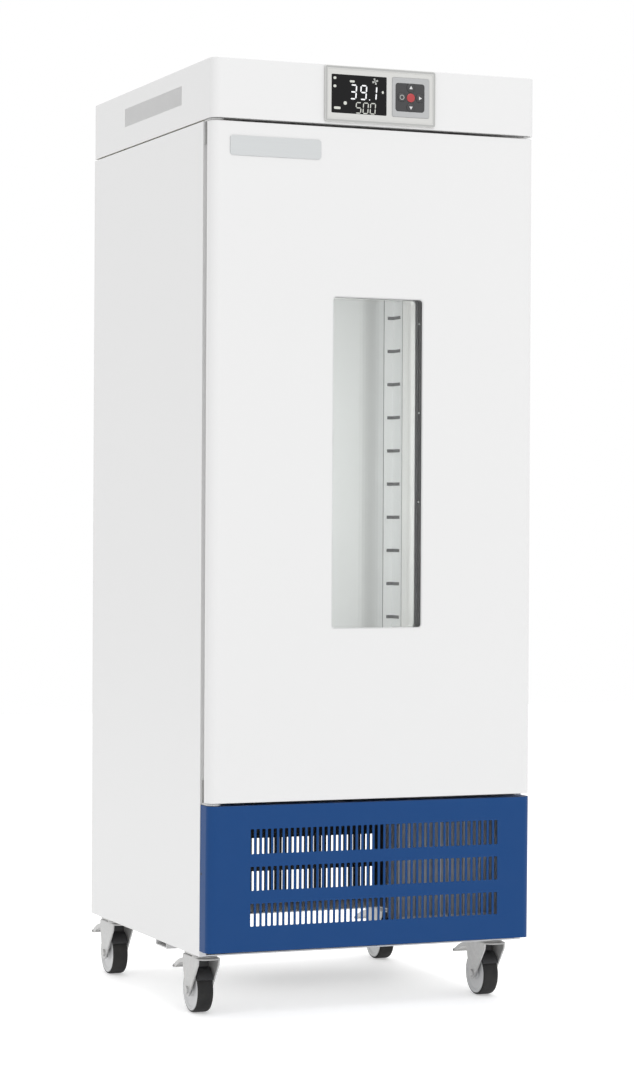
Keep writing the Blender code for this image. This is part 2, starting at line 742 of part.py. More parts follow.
def shell_front(rect, depth, steps=3):
    """A folded front sheet's outer stations and inner stations, with round upright edges."""
    outer = []
    inner = []
    for step in range(steps + 1):
        angle = math.radians(90 * step / steps)
        side = 1 - math.sin(angle)
        end = 1 - math.sin(min(3 * angle, math.pi / 2))
        y = CORNER_R * (1 - math.cos(angle))
        edge = (
            rect[0] + CORNER_R * side,
            rect[1] - CORNER_R * side,
            rect[2] + DOOR_EDGE_R * end,
            rect[3] - DOOR_EDGE_R * end,
            EDGE_R,
        )
        outer.append((edge, y))
        reach = CORNER_R - (CORNER_R - SHEET) * math.sin(angle)
        edge = (rect[0] + reach, rect[1] - reach, rect[2] + SHEET, rect[3] - SHEET, EDGE_R)
        inner.append((edge, CORNER_R - (CORNER_R - SHEET) * math.cos(angle)))
    outer.append((rect, depth))
    inner.append((inset(rect, SHEET), depth))
    return outer, inner[::-1]


def grille_panel():
    """The plinth's front: a folded sheet with side returns and three rows of upright slots."""
    outer, inner = shell_front(PLINTH_RECT, FACE_Y - SEAT)
    shell = formed("grille_panel", "y", outer + inner, steps=0)
    past = (-0.002, SHEET + 0.002)
    slots = slot_rows("y", GRILLE_X, GRILLE_SLOTS, GRILLE_PITCH, GRILLE_SLOT_W, GRILLE_ROWS, past)
    show("grille_panel", cut(shell, slots), "blue_paint", smooth=True)


def door_skin(hinge):
    """The door's folded outer sheet, with the window's opening and the two pin holes."""
    outer, inner = shell_front(DOOR_RECT, DOOR_DEPTH)
    stations = [(WINDOW, 0.0)] + outer + inner + [(WINDOW, SHEET)]
    shell = formed("door_skin", "y", stations, closed=True)
    holes = []
    for z in (DOOR_BOTTOM_Z, DOOR_TOP_Z):
        centre = (HINGE_X, HINGE_Y)
        holes.append(rod("pin_hole", "z", centre, PIN_R + PIN_CLEAR, z - 0.002, z + 0.002, sides=12))
    show("door_skin", cut(shell, *holes), "white_paint", pivot=HINGE, parent=hinge, smooth=True)


def door_inner_pan(hinge):
    """The door's pressed inner sheet: flange, grip step, gasket seat, dyke and window reveal."""
    flange = inset(DOOR_RECT, SHEET + SEAT)
    step = inset(DOOR_RECT, GRIP_DEPTH, 0.006)
    dyke = inset(CHAMBER, DYKE_CLEAR, 0.010)
    step_in = inset(step, SHEET, 0.0048)
    dyke_in = inset(dyke, SHEET, 0.0088)
    reveal = inset(WINDOW, -SHEET, WINDOW_R + SHEET)
    stations = [
        (flange, DOOR_DEPTH),
        (step, DOOR_DEPTH),
        (step, PAN_Y),
        (dyke, PAN_Y),
        (dyke, DYKE_Y),
        (WINDOW, DYKE_Y),
        (WINDOW, REVEAL_Y),
        (reveal, REVEAL_Y),
        (reveal, DYKE_Y - SHEET),
        (dyke_in, DYKE_Y - SHEET),
        (dyke_in, PAN_Y - SHEET),
        (step_in, PAN_Y - SHEET),
        (step_in, DOOR_DEPTH - SHEET),
        (flange, DOOR_DEPTH - SHEET),
    ]
    mesh = formed("door_inner_pan", "y", stations, closed=True, steps=2)
    show("door_inner_pan", mesh, "white_paint", pivot=HINGE, parent=hinge)


def door_insulation(hinge):
    """The foam in the door, round the window."""
    gap = SHEET + SEAT
    outer = inset(DOOR_RECT, GRIP_DEPTH + gap, 0.004)
    dyke = inset(CHAMBER, DYKE_CLEAR + gap, 0.008)
    hole = inset(PANE, -SEAT, EDGE_R)
    stations = [
        (outer, gap),
        (outer, PAN_Y - gap),
        (dyke, PAN_Y - gap),
        (dyke, DYKE_Y - gap),
        (hole, DYKE_Y - gap),
        (hole, gap),
    ]
    mesh = formed("door_insulation", "y", stations, closed=True, steps=1)
    show("door_insulation", mesh, "foam", pivot=HINGE, parent=hinge)


def door_gasket(hinge):
    """The soft seal round the door's inner pan, with eased edges where it meets the lining."""
    outer = inset(DOOR_RECT, GASKET_INSET, 0.012)
    ease = 0.003
    back = PAN_Y + SEAT
    front = FACE_Y - SEAT
    stations = [
        (outer, back),
        (outer, front - ease),
        (inset(outer, ease), front),
        (inset(outer, GASKET_WIDTH - ease), front),
        (inset(outer, GASKET_WIDTH), front - ease),
        (inset(outer, GASKET_WIDTH), back),
    ]
    mesh = formed("door_gasket", "y", stations, closed=True, steps=2)
    show("door_gasket", mesh, "grey_rubber", pivot=HINGE, parent=hinge)


def door_window(hinge):
    """Two panes with the black spacer frame between them."""
    outer = formed("window_outer_pane", "y", [(PANE, PANE_Y), (PANE, PANE_Y + GLASS)])
    show("window_outer_pane", outer, "glass", pivot=HINGE, parent=hinge)
    inner = formed("window_inner_pane", "y", [(PANE, INNER_PANE_Y), (PANE, INNER_PANE_Y + GLASS)])
    show("window_inner_pane", inner, "glass", pivot=HINGE, parent=hinge)
    ends = (SPACER_Y, SPACER_Y + SPACER_DEPTH)
    stations = [(PANE, ends[0]), (PANE, ends[1]), (WINDOW, ends[1]), (WINDOW, ends[0])]
    spacer = formed("window_spacer", "y", stations, closed=True)
    show("window_spacer", spacer, "black_plastic", pivot=HINGE, parent=hinge)


def badge_plate(hinge):
    """The bare plate on the door's upper left."""
    rect = (*BADGE_X, *BADGE_Z, 0.005)
    front = -SEAT - BADGE_THICK
    stations = [(rect, -SEAT), (rect, front + 0.0004), (inset(rect, 0.0004), front)]
    mesh = formed("badge_plate", "y", stations)
    show("badge_plate", mesh, "silver_plastic", pivot=HINGE, parent=hinge)


def hinge_plate(name, near, away, sign):
    """A hinge plate in the gap past the door's end, with its pin and its tab on the cabinet face."""
    low, high = sorted((near, away))
    reach = FACE_Y - SEAT
    side = 0.002
    nose = side + HINGE_PLATE_W / 2
    front = HINGE_Y - 0.009
    round_nose = arc(nose, front + HINGE_PLATE_W / 2 - 0.002, HINGE_PLATE_W / 2, 180, 360, 10)
    plate = extrude(name, "z", round_nose + [(side + HINGE_PLATE_W, reach), (side, reach)], low, high)
    tab_x = (side, GRIP_DEPTH - 0.002)
    tab_z = sorted((near - sign * HINGE_PLATE / 2, near + sign * HINGE_TAB))
    tab = block("tab", tab_x, (reach - HINGE_PLATE, reach), tab_z)
    pin_z = sorted((near - sign * HINGE_PLATE / 2, near + sign * PIN_REACH))
    pin = rod("pin", "z", (HINGE_X, HINGE_Y), PIN_R, *pin_z, sides=12)
    show(name, join(plate, tab, pin), "steel", smooth=True)


def hinge_plates():
    """The upper plate hangs its pin down into the door, and the lower one stands its pin up."""
    gap_low = DOOR_BOTTOM_Z - PLINTH_TOP_Z
    gap_high = HOUSING_BOTTOM_Z - DOOR_TOP_Z
    low = DOOR_BOTTOM_Z - (gap_low - HINGE_PLATE) / 2
    high = DOOR_TOP_Z + (gap_high - HINGE_PLATE) / 2
    hinge_plate("lower_hinge_plate", low, low - HINGE_PLATE, 1)
    hinge_plate("upper_hinge_plate", high, high + HINGE_PLATE, -1)


def mirror_outline(points):
    """Close a left half outline, listed front to rear, with its mirror image on the right."""
    return points + [(WIDTH - u, v) for u, v in reversed(points)]


def post_level(index):
    """The lower edge of a numbered slot in the shelf posts."""
    return POST_FIRST_Z + index * POST_PITCH


def post_mesh(name, corner_y, away):
    """An L-shaped post in a left corner, its side leg running forward or to the rear.

    The slots of a rear post run round its corner, and those of a front post stay in its side leg.
    """
    x = CHAMBER_SIDE + SEAT
    line = [(x + POST_LEG, corner_y), (x, corner_y), (x, corner_y + away * POST_DEPTH)]
    outline = strip(line, -away * POST_SHEET)
    post = extrude(name, "z", outline, *CHAMBER_SPAN)
    round_corner = away < 0
    slot_x = (x - 0.001, x + POST_LEG - POST_WEB if round_corner else x + POST_SHEET + 0.001)
    start = -0.001 if round_corner else POST_WEB
    slot_y = sorted((corner_y + away * start, corner_y + away * (POST_DEPTH - POST_WEB)))
    slots = []
    for index in range(POST_SLOTS):
        low = post_level(index)
        slots.append(block("slot", slot_x, slot_y, (low, low + POST_SLOT_H)))
    return cut(post, merged("slots", slots))


def shelf_posts():
    """Four slotted posts, one in each corner of the chamber."""
    for place, corner_y, away in (("front", POST_FRONT_Y, 1), ("rear", DUCT_FLANGE_Y - SEAT, -1)):
        left = post_mesh(place + "_left_post", corner_y, away)
        right = mirrored(left, place + "_right_post")
        show(place + "_left_post", left, "steel")
        show(place + "_right_post", right, "steel")


def shelves():
    """Open shelves whose ears stand in the posts' slots."""
    side = CHAMBER_SIDE + SEAT + POST_LEG + SHELF_CLEAR
    tip = CHAMBER_SIDE + 2 * SEAT
    front = POST_FRONT_Y + POST_SHEET + SHELF_CLEAR
    rear = DUCT_HUMP_Y - SHELF_CLEAR
    slot_front = POST_FRONT_Y + POST_DEPTH / 2
    slot_rear = DUCT_FLANGE_Y - POST_DEPTH / 2
    outline = [
        (side, front),
        (side, slot_front - SHELF_EAR / 2),
        (tip, slot_front - SHELF_EAR / 2),
        (tip, slot_front + SHELF_EAR / 2),
        (side, slot_front + SHELF_EAR / 2),
        (side, slot_rear - SHELF_EAR / 2),
        (tip, slot_rear - SHELF_EAR / 2),
        (tip, slot_rear + SHELF_EAR / 2),
        (side + SHELF_FRAME, slot_rear + SHELF_EAR / 2),
        (side + SHELF_FRAME, rear),
    ]
    inner = (side + SHELF_FRAME, WIDTH - side - SHELF_FRAME)
    gap = (inner[1] - inner[0] - SHELF_WIRES * SHELF_WIRE) / (SHELF_WIRES + 1)
    for name, index in SHELF_LEVELS.items():
        low = post_level(index) + SEAT
        plate = extrude(name, "z", mirror_outline(outline), low, low + SHELF_THICK)
        past = (low - 0.001, low + SHELF_THICK + 0.001)
        rows = ((front + SHELF_FRAME, rear - SHELF_FRAME),)
        gaps = slot_rows("z", inner[0], SHELF_WIRES + 1, gap + SHELF_WIRE, gap, rows, past)
        show(name, cut(plate, gaps), "steel")


def air_duct_cover():
    """The full-height cover before the cooling coil: side legs, flat flanges and a rolled hump."""
    x = CHAMBER_SIDE + SEAT
    drop = DUCT_FLANGE_Y - DUCT_HUMP_Y
    line = [(x, CHAMBER_BACK_Y - SEAT), (x, DUCT_FLANGE_Y)]
    for step in range(DUCT_STEPS + 1):
        share = step / DUCT_STEPS
        rise = drop * (1 - math.cos(math.pi * share)) / 2
        line.append((x + DUCT_FLANGE_W + DUCT_ROLL * share, DUCT_FLANGE_Y - rise))
    outline = strip(mirror_outline(line), SHEET)
    mesh = extrude("air_duct_cover", "z", outline, *CHAMBER_SPAN)
    past = (DUCT_HUMP_Y - 0.002, DUCT_HUMP_Y + SHEET + 0.002)
    slots = []
    for index in range(FAN_SLOTS):
        rise = (index - (FAN_SLOTS - 1) / 2) * FAN_SLOT_PITCH
        half = math.sqrt(FAN_R**2 - rise**2)
        z = (FAN_Z + rise - FAN_SLOT_H / 2, FAN_Z + rise + FAN_SLOT_H / 2)
        slots.append(block("slot", (FAN_X - half, FAN_X + half), past, z))
    low = (CHAMBER_FLOOR_Z + RETURN_RISE, CHAMBER_FLOOR_Z + RETURN_RISE + RETURN_H)
    first = FAN_X - (RETURN_SLOTS - 1) * RETURN_PITCH / 2 - RETURN_W / 2
    slots.append(slot_rows("y", first, RETURN_SLOTS, RETURN_PITCH, RETURN_W, (low,), past))
    show("air_duct_cover", cut(mesh, merged("slots", slots)), "white_paint", smooth=True)


def finned(name, x, y, z, frame, fins):
    """A coil's block: a frame with upright fins and clear air gaps right through it."""
    body = block(name, x, y, z)
    pitch = (x[1] - x[0] - 2 * frame) / fins
    past = (y[0] - 0.002, y[1] + 0.002)
    rows = ((z[0] + frame, z[1] - frame),)
    return cut(body, slot_rows("y", x[0] + frame, fins, pitch, pitch - FIN_THICK, rows, past))


def evaporator():
    """The cooling coil on the chamber's rear wall, behind the duct cover."""
    y = (EVAPORATOR_Y, CHAMBER_BACK_Y - SEAT)
    mesh = finned("evaporator", EVAPORATOR_X, y, EVAPORATOR_Z, EVAPORATOR_FRAME, EVAPORATOR_FINS)
    show("evaporator", mesh, "aluminium")


def rounded_route(points, radius, steps):
    """A route through the points, each inner corner eased with an arc of short steps."""
    route = [Vector(points[0])]
    for before, corner, after in zip(points, points[1:], points[2:]):
        corner = Vector(corner)
        start = corner + (Vector(before) - corner).normalized() * radius
        end = corner + (Vector(after) - corner).normalized() * radius
        for step in range(steps + 1):
            share = step / steps
            one = start.lerp(corner, share)
            two = corner.lerp(end, share)
            route.append(one.lerp(two, share))
    route.append(Vector(points[-1]))
    return route


def swept_tube(name, route, radius, sides):
    """A closed tube along a route, its ring carried from point to point without twist."""
    bm = bmesh.new()
    loops = []
    heading = (route[1] - route[0]).normalized()
    across = heading.orthogonal().normalized()
    for i, point in enumerate(route):
        before = (point - route[i - 1]).normalized() if i else heading
        after = (route[i + 1] - point).normalized() if i + 1 < len(route) else before
        mid = (before + after).normalized()
        across = (across - mid * across.dot(mid)).normalized()
        side = mid.cross(across)
        ring = []
        for step in range(sides):
            angle = math.tau * step / sides
            ring.append(bm.verts.new(point + radius * (math.cos(angle) * across + math.sin(angle) * side)))
        loops.append(ring)
    skin(bm, loops, False)
    return to_mesh(bm, name)


def heater():
    """The sheathed heating rod: a flat serpentine whose ends go into the rear wall."""
    wall = CHAMBER_BACK_Y - SEAT
    low, high = HEATER_X
    points = [(low, wall, HEATER_Z), (low, HEATER_Y, HEATER_Z)]
    for turn in range(HEATER_TURNS):
        z = HEATER_Z + turn * HEATER_RUN
        ends = (low, high) if turn % 2 == 0 else (high, low)
        if turn:
            points.append((ends[0], HEATER_Y, z))
        points.append((ends[1], HEATER_Y, z))
    points.append((points[-1][0], wall, points[-1][2]))
    route = rounded_route(points, HEATER_BEND, 2)
    show("heater", swept_tube("heater", route, HEATER_R, 6), "steel", smooth=True)


def fan_mesh(name, centre, y, radius, hub_radius, shaft_end):
    """A fan with pitched, tapered blades on a hub, and its shaft to the motor."""
    profile = [
        (hub_radius, y[0]),
        (hub_radius, y[1]),
        (FAN_SHAFT_R, y[1]),
        (FAN_SHAFT_R, shaft_end),
    ]
    hub = turned(name, "y", centre, profile, sides=12)
    mid = (y[0] + y[1]) / 2
    root = hub_radius * 0.8
    half = (y[1] - y[0]) / 2 / math.sin(math.radians(BLADE_PITCH)) * 0.85
    outline = [
        (root, -half * 0.6),
        (radius * 0.72, -half),
        (radius * 0.96, -half * 0.8),
        (radius, half * 0.2),
        (radius * 0.9, half),
        (root, half * 0.6),
    ]
    blades = []
    for index in range(BLADES):
        blade = extrude("blade", "y", outline, -BLADE_THICK / 2, BLADE_THICK / 2)
        blade.transform(Matrix.Rotation(math.radians(BLADE_PITCH), 4, "X"))
        blade.transform(Matrix.Rotation(math.tau * index / BLADES, 4, "Y"))
        blade.transform(Matrix.Translation((centre[0], mid, centre[1])))
        blades.append(blade)
    return join(hub, *blades)


def circulation_fan():
    """The chamber's air fan behind the duct cover, and its motor on the rear wall."""
    centre = (FAN_X, FAN_Z)
    y = (FAN_Y, FAN_Y + FAN_DEPTH)
    fan = fan_mesh("circulation_fan", centre, y, FAN_R, FAN_HUB_R, MOTOR_FRONT_Y - SEAT)
    show("circulation_fan", fan, "aluminium", pivot=(FAN_X, FAN_Y, FAN_Z))
    wall = CHAMBER_BACK_Y - SEAT
    profile = [
        (MOTOR_R * 0.5, MOTOR_FRONT_Y),
        (MOTOR_R, MOTOR_FRONT_Y + 0.006),
        (MOTOR_R, wall - MOTOR_FLANGE),
        (MOTOR_R * 1.5, wall - MOTOR_FLANGE),
        (MOTOR_R * 1.5, wall),
    ]
    motor = turned("circulation_fan_motor", "y", centre, profile, sides=14)
    show("circulation_fan_motor", motor, "steel", smooth=True)


def condenser():
    """The condenser coil at the plinth's right front, standing on two feet."""
    floor = BASE_Z + BASE_SHEET + SEAT
    mesh = finned("condenser", CONDENSER_X, CONDENSER_Y, CONDENSER_Z, CONDENSER_FRAME, CONDENSER_FINS)
    feet = []
    for x in (CONDENSER_X[0], CONDENSER_X[1] - CONDENSER_FOOT):
        z = (floor, CONDENSER_Z[0] + CONDENSER_FRAME / 2)
        feet.append(block("foot", (x, x + CONDENSER_FOOT), (CONDENSER_Y[0] + 0.004, CONDENSER_Y[1] - 0.004), z))
    show("condenser", join(mesh, *feet), "aluminium")


def condenser_fan():
    """The square fan shroud behind the condenser, with its motor on three arms, and the fan."""
    centre = (sum(CONDENSER_X) / 2, sum(CONDENSER_Z) / 2)
    hole_r = COOLER_FAN_R + COOLER_FAN_CLEAR
    half = hole_r + 0.006
    front = CONDENSER_Y[1] + SEAT
    rear = front + SHROUD_DEPTH
    plate_back = front + 0.002
    ring_r = hole_r + 0.002
    plate = block("condenser_fan_shroud", (centre[0] - half, centre[0] + half),
                  (front, plate_back), (centre[1] - half, centre[1] + half))
    ring = rod("ring", "y", centre, ring_r, front + 0.001, rear, sides=20)
    hole = rod("hole", "y", centre, hole_r, front - 0.002, rear + 0.002, sides=20)
    motor_front = rear - SHROUD_MOTOR
    motor = rod("motor", "y", centre, COOLER_FAN_HUB_R, motor_front, rear + 0.004, sides=12)
    arms = []
    for index in range(3):
        arm = block("arm", (0.0, ring_r - 0.0005), (rear - 0.003, rear - 0.0005), (-0.005, 0.005))
        arm.transform(Matrix.Rotation(math.tau * index / 3 + math.pi / 6, 4, "Y"))
        arm.transform(Matrix.Translation((centre[0], 0.0, centre[1])))
        arms.append(arm)
    shroud = join(cut(join(plate, ring), hole), motor, *arms)
    show("condenser_fan_shroud", shroud, "black_paint", smooth=True)
    y = (front + 0.004, front + 0.004 + COOLER_FAN_DEPTH)
    fan = fan_mesh("condenser_fan", centre, y, COOLER_FAN_R, COOLER_FAN_HUB_R, motor_front - SEAT)
    show("condenser_fan", fan, "aluminium", pivot=(centre[0], y[0], centre[1]))


def compressor():
    """The sealed compressor: a domed pot with its seam, on a foot plate with four mounts."""
    centre = (COMPRESSOR_X, COMPRESSOR_Y)
    floor = BASE_Z + BASE_SHEET + SEAT
    foot = floor + COMPRESSOR_FOOT_Z
    top = COMPRESSOR_TOP_Z
    r = COMPRESSOR_R
    seam = foot + (top - foot) * 0.55
    profile = [(r * 0.6, foot), (r * 0.96, foot + 0.014), (r, seam - 0.003)]
    profile += [(r + 0.003, seam - 0.003), (r + 0.003, seam + 0.003), (r, seam + 0.003)]
    profile += [(r * 0.97, top - 0.045), (r * 0.82, top - 0.018), (r * 0.45, top)]
    pot = turned("compressor", "z", centre, profile, sides=16)
    half = r * 0.98
    plate = block("plate", (centre[0] - half, centre[0] + half), (centre[1] - half, centre[1] + half),
                  (foot - 0.0005, foot + 0.003))
    mounts = []
    for sx in (-1, 1):
        for sy in (-1, 1):
            spot = (centre[0] + sx * (half - 0.012), centre[1] + sy * (half - 0.012))
            mounts.append(rod("mount", "z", spot, 0.008, floor, foot + 0.001, sides=6))
    show("compressor", join(pot, plate, *mounts), "black_paint", smooth=True)


def caster_plate_mesh():
    """The fixed top plate with its upper race and the headed kingpin."""
    top = BASE_Z - SEAT
    low = top - TOP_PLATE
    half = TOP_PLATE_HALF
    plate = formed("plate", "z", [((-half, half, -half, half, 0.004), z) for z in (low, top)], steps=1)
    under = CROWN_TOP_Z - FORK_SHEET - SEAT
    profile = [
        (RACE_R, low + 0.0005),
        (RACE_R, CROWN_TOP_Z + RACE_H + SEAT),
        (KINGPIN_R, CROWN_TOP_Z + RACE_H + SEAT),
        (KINGPIN_R, under),
        (KINGPIN_R * 1.6, under),
        (KINGPIN_R * 1.6, under - 0.0025),
    ]
    return join(plate, turned("race", "z", (0.0, 0.0), profile, sides=10))


def caster_fork_mesh():
    """The pressed fork: crown, lower race, two legs and the headed axle."""
    half = FORK_W / 2
    low = CROWN_TOP_Z - FORK_SHEET
    crown_rect = (-half, half, CROWN_Y[0], CROWN_Y[1], (0.012, 0.012, 0.004, 0.004))
    crown = formed("fork", "z", [(crown_rect, low), (crown_rect, CROWN_TOP_Z)], steps=1)
    race = rod("race", "z", (0.0, 0.0), RACE_R, low + 0.001, CROWN_TOP_Z + RACE_H, sides=10)
    leg = [(CROWN_Y[0] + 0.010, CROWN_TOP_Z - 0.0008), (CROWN_Y[0] + 0.012, LEG_SHOULDER_Z)]
    leg += arc(TRAIL, WHEEL_R, LEG_BOSS_R, 205, 345, 3)
    leg += [(CROWN_Y[1] - 0.001, LEG_SHOULDER_Z), (CROWN_Y[1] - 0.002, CROWN_TOP_Z - 0.0008)]
    legs = []
    for x in ((-half, -half + FORK_SHEET), (half - FORK_SHEET, half)):
        legs.append(extrude("leg", "x", leg, *x))
    profile = [
        (AXLE_R * 1.6, -half - AXLE_HEAD),
        (AXLE_R * 1.6, -half + FORK_SHEET / 2),
        (AXLE_R, -half + FORK_SHEET / 2),
        (AXLE_R, half - FORK_SHEET / 2),
        (AXLE_R * 1.6, half - FORK_SHEET / 2),
        (AXLE_R * 1.6, half + AXLE_HEAD),
    ]
    axle = turned("axle", "x", (TRAIL, WHEEL_R), profile, sides=8)
    bore = rod("bore", "z", (0.0, 0.0), KINGPIN_R + AXLE_CLEAR, low - 0.002, CROWN_TOP_Z + 0.010, sides=10)
    return cut(join(crown, race, *legs, axle), bore)


def caster_wheel_mesh():
    """The wheel: a rounded tyre on a hub with a recessed web and a bore."""
    half = WHEEL_W / 2
    bore = AXLE_R + AXLE_CLEAR
    profile = [
        (bore, -half),
        (WHEEL_R - 0.004, -half),
        (WHEEL_R, -half + 0.005),
        (WHEEL_R, half - 0.005),
        (WHEEL_R - 0.004, half),
        (bore, half),
    ]
    return turned("wheel", "x", (TRAIL, WHEEL_R), profile, sides=20, ring=True)


def caster_brake_mesh():
    """The brake pedal: a bent strip with its pivot pin and the shoe that presses on the tyre."""
    y, z = PEDAL_PIVOT
    line = [
        (y - 0.008, z - 0.001),
        (y + 0.010, z + 0.003),
        (y + 0.031, z + 0.0005),
        (y + 0.052, z - 0.0055),
        (PEDAL_TIP_Y - CASTER_Y[1], z - 0.0195),
    ]
    half = PEDAL_W / 2
    pedal = extrude("brake", "x", strip(line, -PEDAL_SHEET), -half, half)
    reach = FORK_W / 2 - FORK_SHEET - SEAT
    pin = rod("pin", "x", (y, z), PEDAL_PIN_R, -reach, reach, sides=8)
    outline = [(y + 0.002, z + 0.001), (y + 0.005, z - 0.012), (y + 0.009, z - 0.012), (y + 0.010, z + 0.003)]
    shoe = extrude("shoe", "x", outline, -half * 0.7, half * 0.7)
    return join(pedal, pin, shoe)


def casters():
    """Four swivelling casters, each a fixed plate, a fork, a wheel and a brake pedal."""
    plate = caster_plate_mesh()
    fork = caster_fork_mesh()
    wheel = caster_wheel_mesh()
    brake = caster_brake_mesh()
    for end, y in (("front", CASTER_Y[0]), ("rear", CASTER_Y[1])):
        for side, x in (("left", CASTER_X), ("right", WIDTH - CASTER_X)):
            name = end + "_" + side + "_caster_"
            copies = {}
            for piece, mesh in (("plate", plate), ("fork", fork), ("wheel", wheel), ("brake", brake)):
                copies[piece] = mesh.copy()
                copies[piece].transform(Matrix.Translation((x, y, 0.0)))
            axle = (x, y + TRAIL, WHEEL_R)
            pedal = (x, y + PEDAL_PIVOT[0], PEDAL_PIVOT[1])
            show(name + "plate", copies["plate"], "steel", smooth=True)
            carrier = show(name + "fork", copies["fork"], "steel", (x, y, CROWN_TOP_Z), smooth=True)
            show(name + "wheel", copies["wheel"], "rubber", axle, parent=carrier, smooth=True)
            show(name + "brake", copies["brake"], "steel", pedal, parent=carrier, smooth=True)


def build():
    """Build every piece of the cabinet."""
    clear_scene()
    side_panels()
    rear_panel()
    power_inlet()
    base_frame()
    bay_ceiling()
    chamber_liner()
    insulation()
    top_housing()
    control_panel()
    buttons()
    control_board()
    grille_panel()
    shelf_posts()
    shelves()
    air_duct_cover()
    evaporator()
    heater()
    circulation_fan()
    condenser()
    condenser_fan()
    compressor()
    casters()
    hinge_plates()
    hinge = pivot_empty("door_hinge", HINGE)
    door_skin(hinge)
    door_inner_pan(hinge)
    door_insulation(hinge)
    door_gasket(hinge)
    door_window(hinge)
    badge_plate(hinge)


build()
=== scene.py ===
# %% [markdown]
# # Bod incubator: a tall white cabinet on casters, with a glazed door and a blue plinth
#
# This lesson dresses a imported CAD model. The CAD says where each piece is and how it moves. Blender adds
# what the eye needs: fine slots, pressed edges, screws, lit digits and materials with a grain of their own.
# Lengths are in metres. A piece's place is written as the maker would measure it on the cabinet: x from the
# left face, y back from the plane of the door, z up from the floor.

import math

import bmesh
import bpy
from mathutils import Matrix, Vector


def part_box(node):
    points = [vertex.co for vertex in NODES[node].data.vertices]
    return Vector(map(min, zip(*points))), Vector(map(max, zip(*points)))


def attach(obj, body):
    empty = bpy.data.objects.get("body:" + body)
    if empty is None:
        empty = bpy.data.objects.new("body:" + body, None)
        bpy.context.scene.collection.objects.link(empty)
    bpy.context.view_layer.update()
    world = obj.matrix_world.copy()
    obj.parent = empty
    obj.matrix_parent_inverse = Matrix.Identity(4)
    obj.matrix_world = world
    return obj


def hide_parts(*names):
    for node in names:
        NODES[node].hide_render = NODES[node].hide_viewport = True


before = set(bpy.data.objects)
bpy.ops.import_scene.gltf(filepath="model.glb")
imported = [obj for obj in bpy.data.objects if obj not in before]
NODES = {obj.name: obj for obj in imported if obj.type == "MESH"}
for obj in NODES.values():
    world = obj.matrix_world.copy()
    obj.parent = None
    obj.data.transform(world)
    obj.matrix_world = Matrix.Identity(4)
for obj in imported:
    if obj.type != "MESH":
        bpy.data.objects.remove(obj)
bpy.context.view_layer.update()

# %% [markdown]
# ## From the cabinet's own measures to the frame
#
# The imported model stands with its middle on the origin, while a maker measures from a corner. One shift
# joins the two. It could be typed in, but then it would go wrong if the cabinet were ever resized. Here it
# is read from the left panel and the rear panel, which lie on the cabinet's limits.

# %% The corner that the maker measures from
DEPTH = 0.607
REAR_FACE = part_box("rear_panel")[1].y
CORNER = Vector((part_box("left_side_panel")[0].x, REAR_FACE - DEPTH, 0.0))
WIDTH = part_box("right_side_panel")[1].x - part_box("left_side_panel")[0].x


def span(node):
    """A CAD node's limits in cabinet measures: two corners."""
    low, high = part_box(node)
    return low - CORNER, high - CORNER


DOOR = span("door_skin")
PLINTH = span("grille_panel")
HOUSING = span("top_housing")
print("Width %.1f mm, top %.1f mm" % (WIDTH * 1000, HOUSING[1].z * 1000))

# %% [markdown]
# ## The camera
#
# The photograph was taken with a fairly long lens from the left of the front, a little above the middle of
# the cabinet. A camera can be placed by trial, but here it comes from a fit of eight corners of the
# cabinet, so that each edge falls where the photograph has it. The lens is given for the image's long side.

# %% The fitted camera
CAMERA_AT = Vector((-1.899, -4.6906, 0.808))
YAW, PITCH, ROLL = (math.radians(angle) for angle in (-22.361, 0.193, 0.295))
LENS, SENSOR, FAR_LIMIT = 97.32, 36.0, 60.0
MIDDLE = Vector((0.0, 0.0, 0.78))


def camera_axes(yaw, pitch, roll):
    """The camera's right, up and back directions."""
    back = Vector((math.sin(yaw) * math.cos(pitch), -math.cos(yaw) * math.cos(pitch), math.sin(pitch)))
    right = Vector((math.cos(yaw), math.sin(yaw), 0.0))
    up = back.cross(right)
    turned_right = math.cos(roll) * right + math.sin(roll) * up
    turned_up = math.cos(roll) * up - math.sin(roll) * right
    return turned_right, turned_up, back


camera_data = bpy.data.cameras.new("camera")
camera_data.lens = LENS
camera_data.sensor_width = SENSOR
camera_data.clip_end = FAR_LIMIT
camera = bpy.data.objects.new("camera", camera_data)
bpy.context.scene.collection.objects.link(camera)
axes = camera_axes(YAW, PITCH, ROLL)
camera.matrix_world = Matrix.Translation(CAMERA_AT) @ Matrix(axes).transposed().to_4x4()
bpy.context.scene.camera = camera
print("Camera %.2f m from the cabinet's middle" % (CAMERA_AT - MIDDLE).length)

# %% [markdown]
# ## The studio
#
# A white cabinet is hard to light: it needs a bright surround, and still its side must be a little darker
# than its front, or the corner vanishes. One could use a single big lamp, but then the slots and the window
# go dead. Here a white world fills the shadows, a soft lamp hangs high in front, where the window cannot
# mirror it, another one hangs above, and two weak ones are in the chamber, where the real cabinet has a lamp
# of its own. They stand to the left, so that the fold beside the shelf post keeps its shade.

# %% Floor, world and soft lamps
FLOOR_SIZE = 14.0
WHITE = (1.0, 1.0, 1.0, 1.0)
WORLD_LIGHT = 1.0
LAMPS = (  # name, place, target, size and power in watts
    ("front_lamp", (0.5, -4.0, 4.8), (0.0, -0.3, 0.6), (2.4, 1.8), 68.0),
    ("top_lamp", (0.0, 0.6, 4.6), (0.0, 0.0, 0.0), (3.0, 3.0), 40.0),
    ("chamber_lamp", (-0.12, -0.235, 0.91), (0.05, 0.2, 0.91), (0.20, 0.86), 1.8),
    ("reveal_lamp", (-0.072, -0.282, 0.91), (0.2, -0.282, 0.91), (0.016, 0.52), 0.2),
)


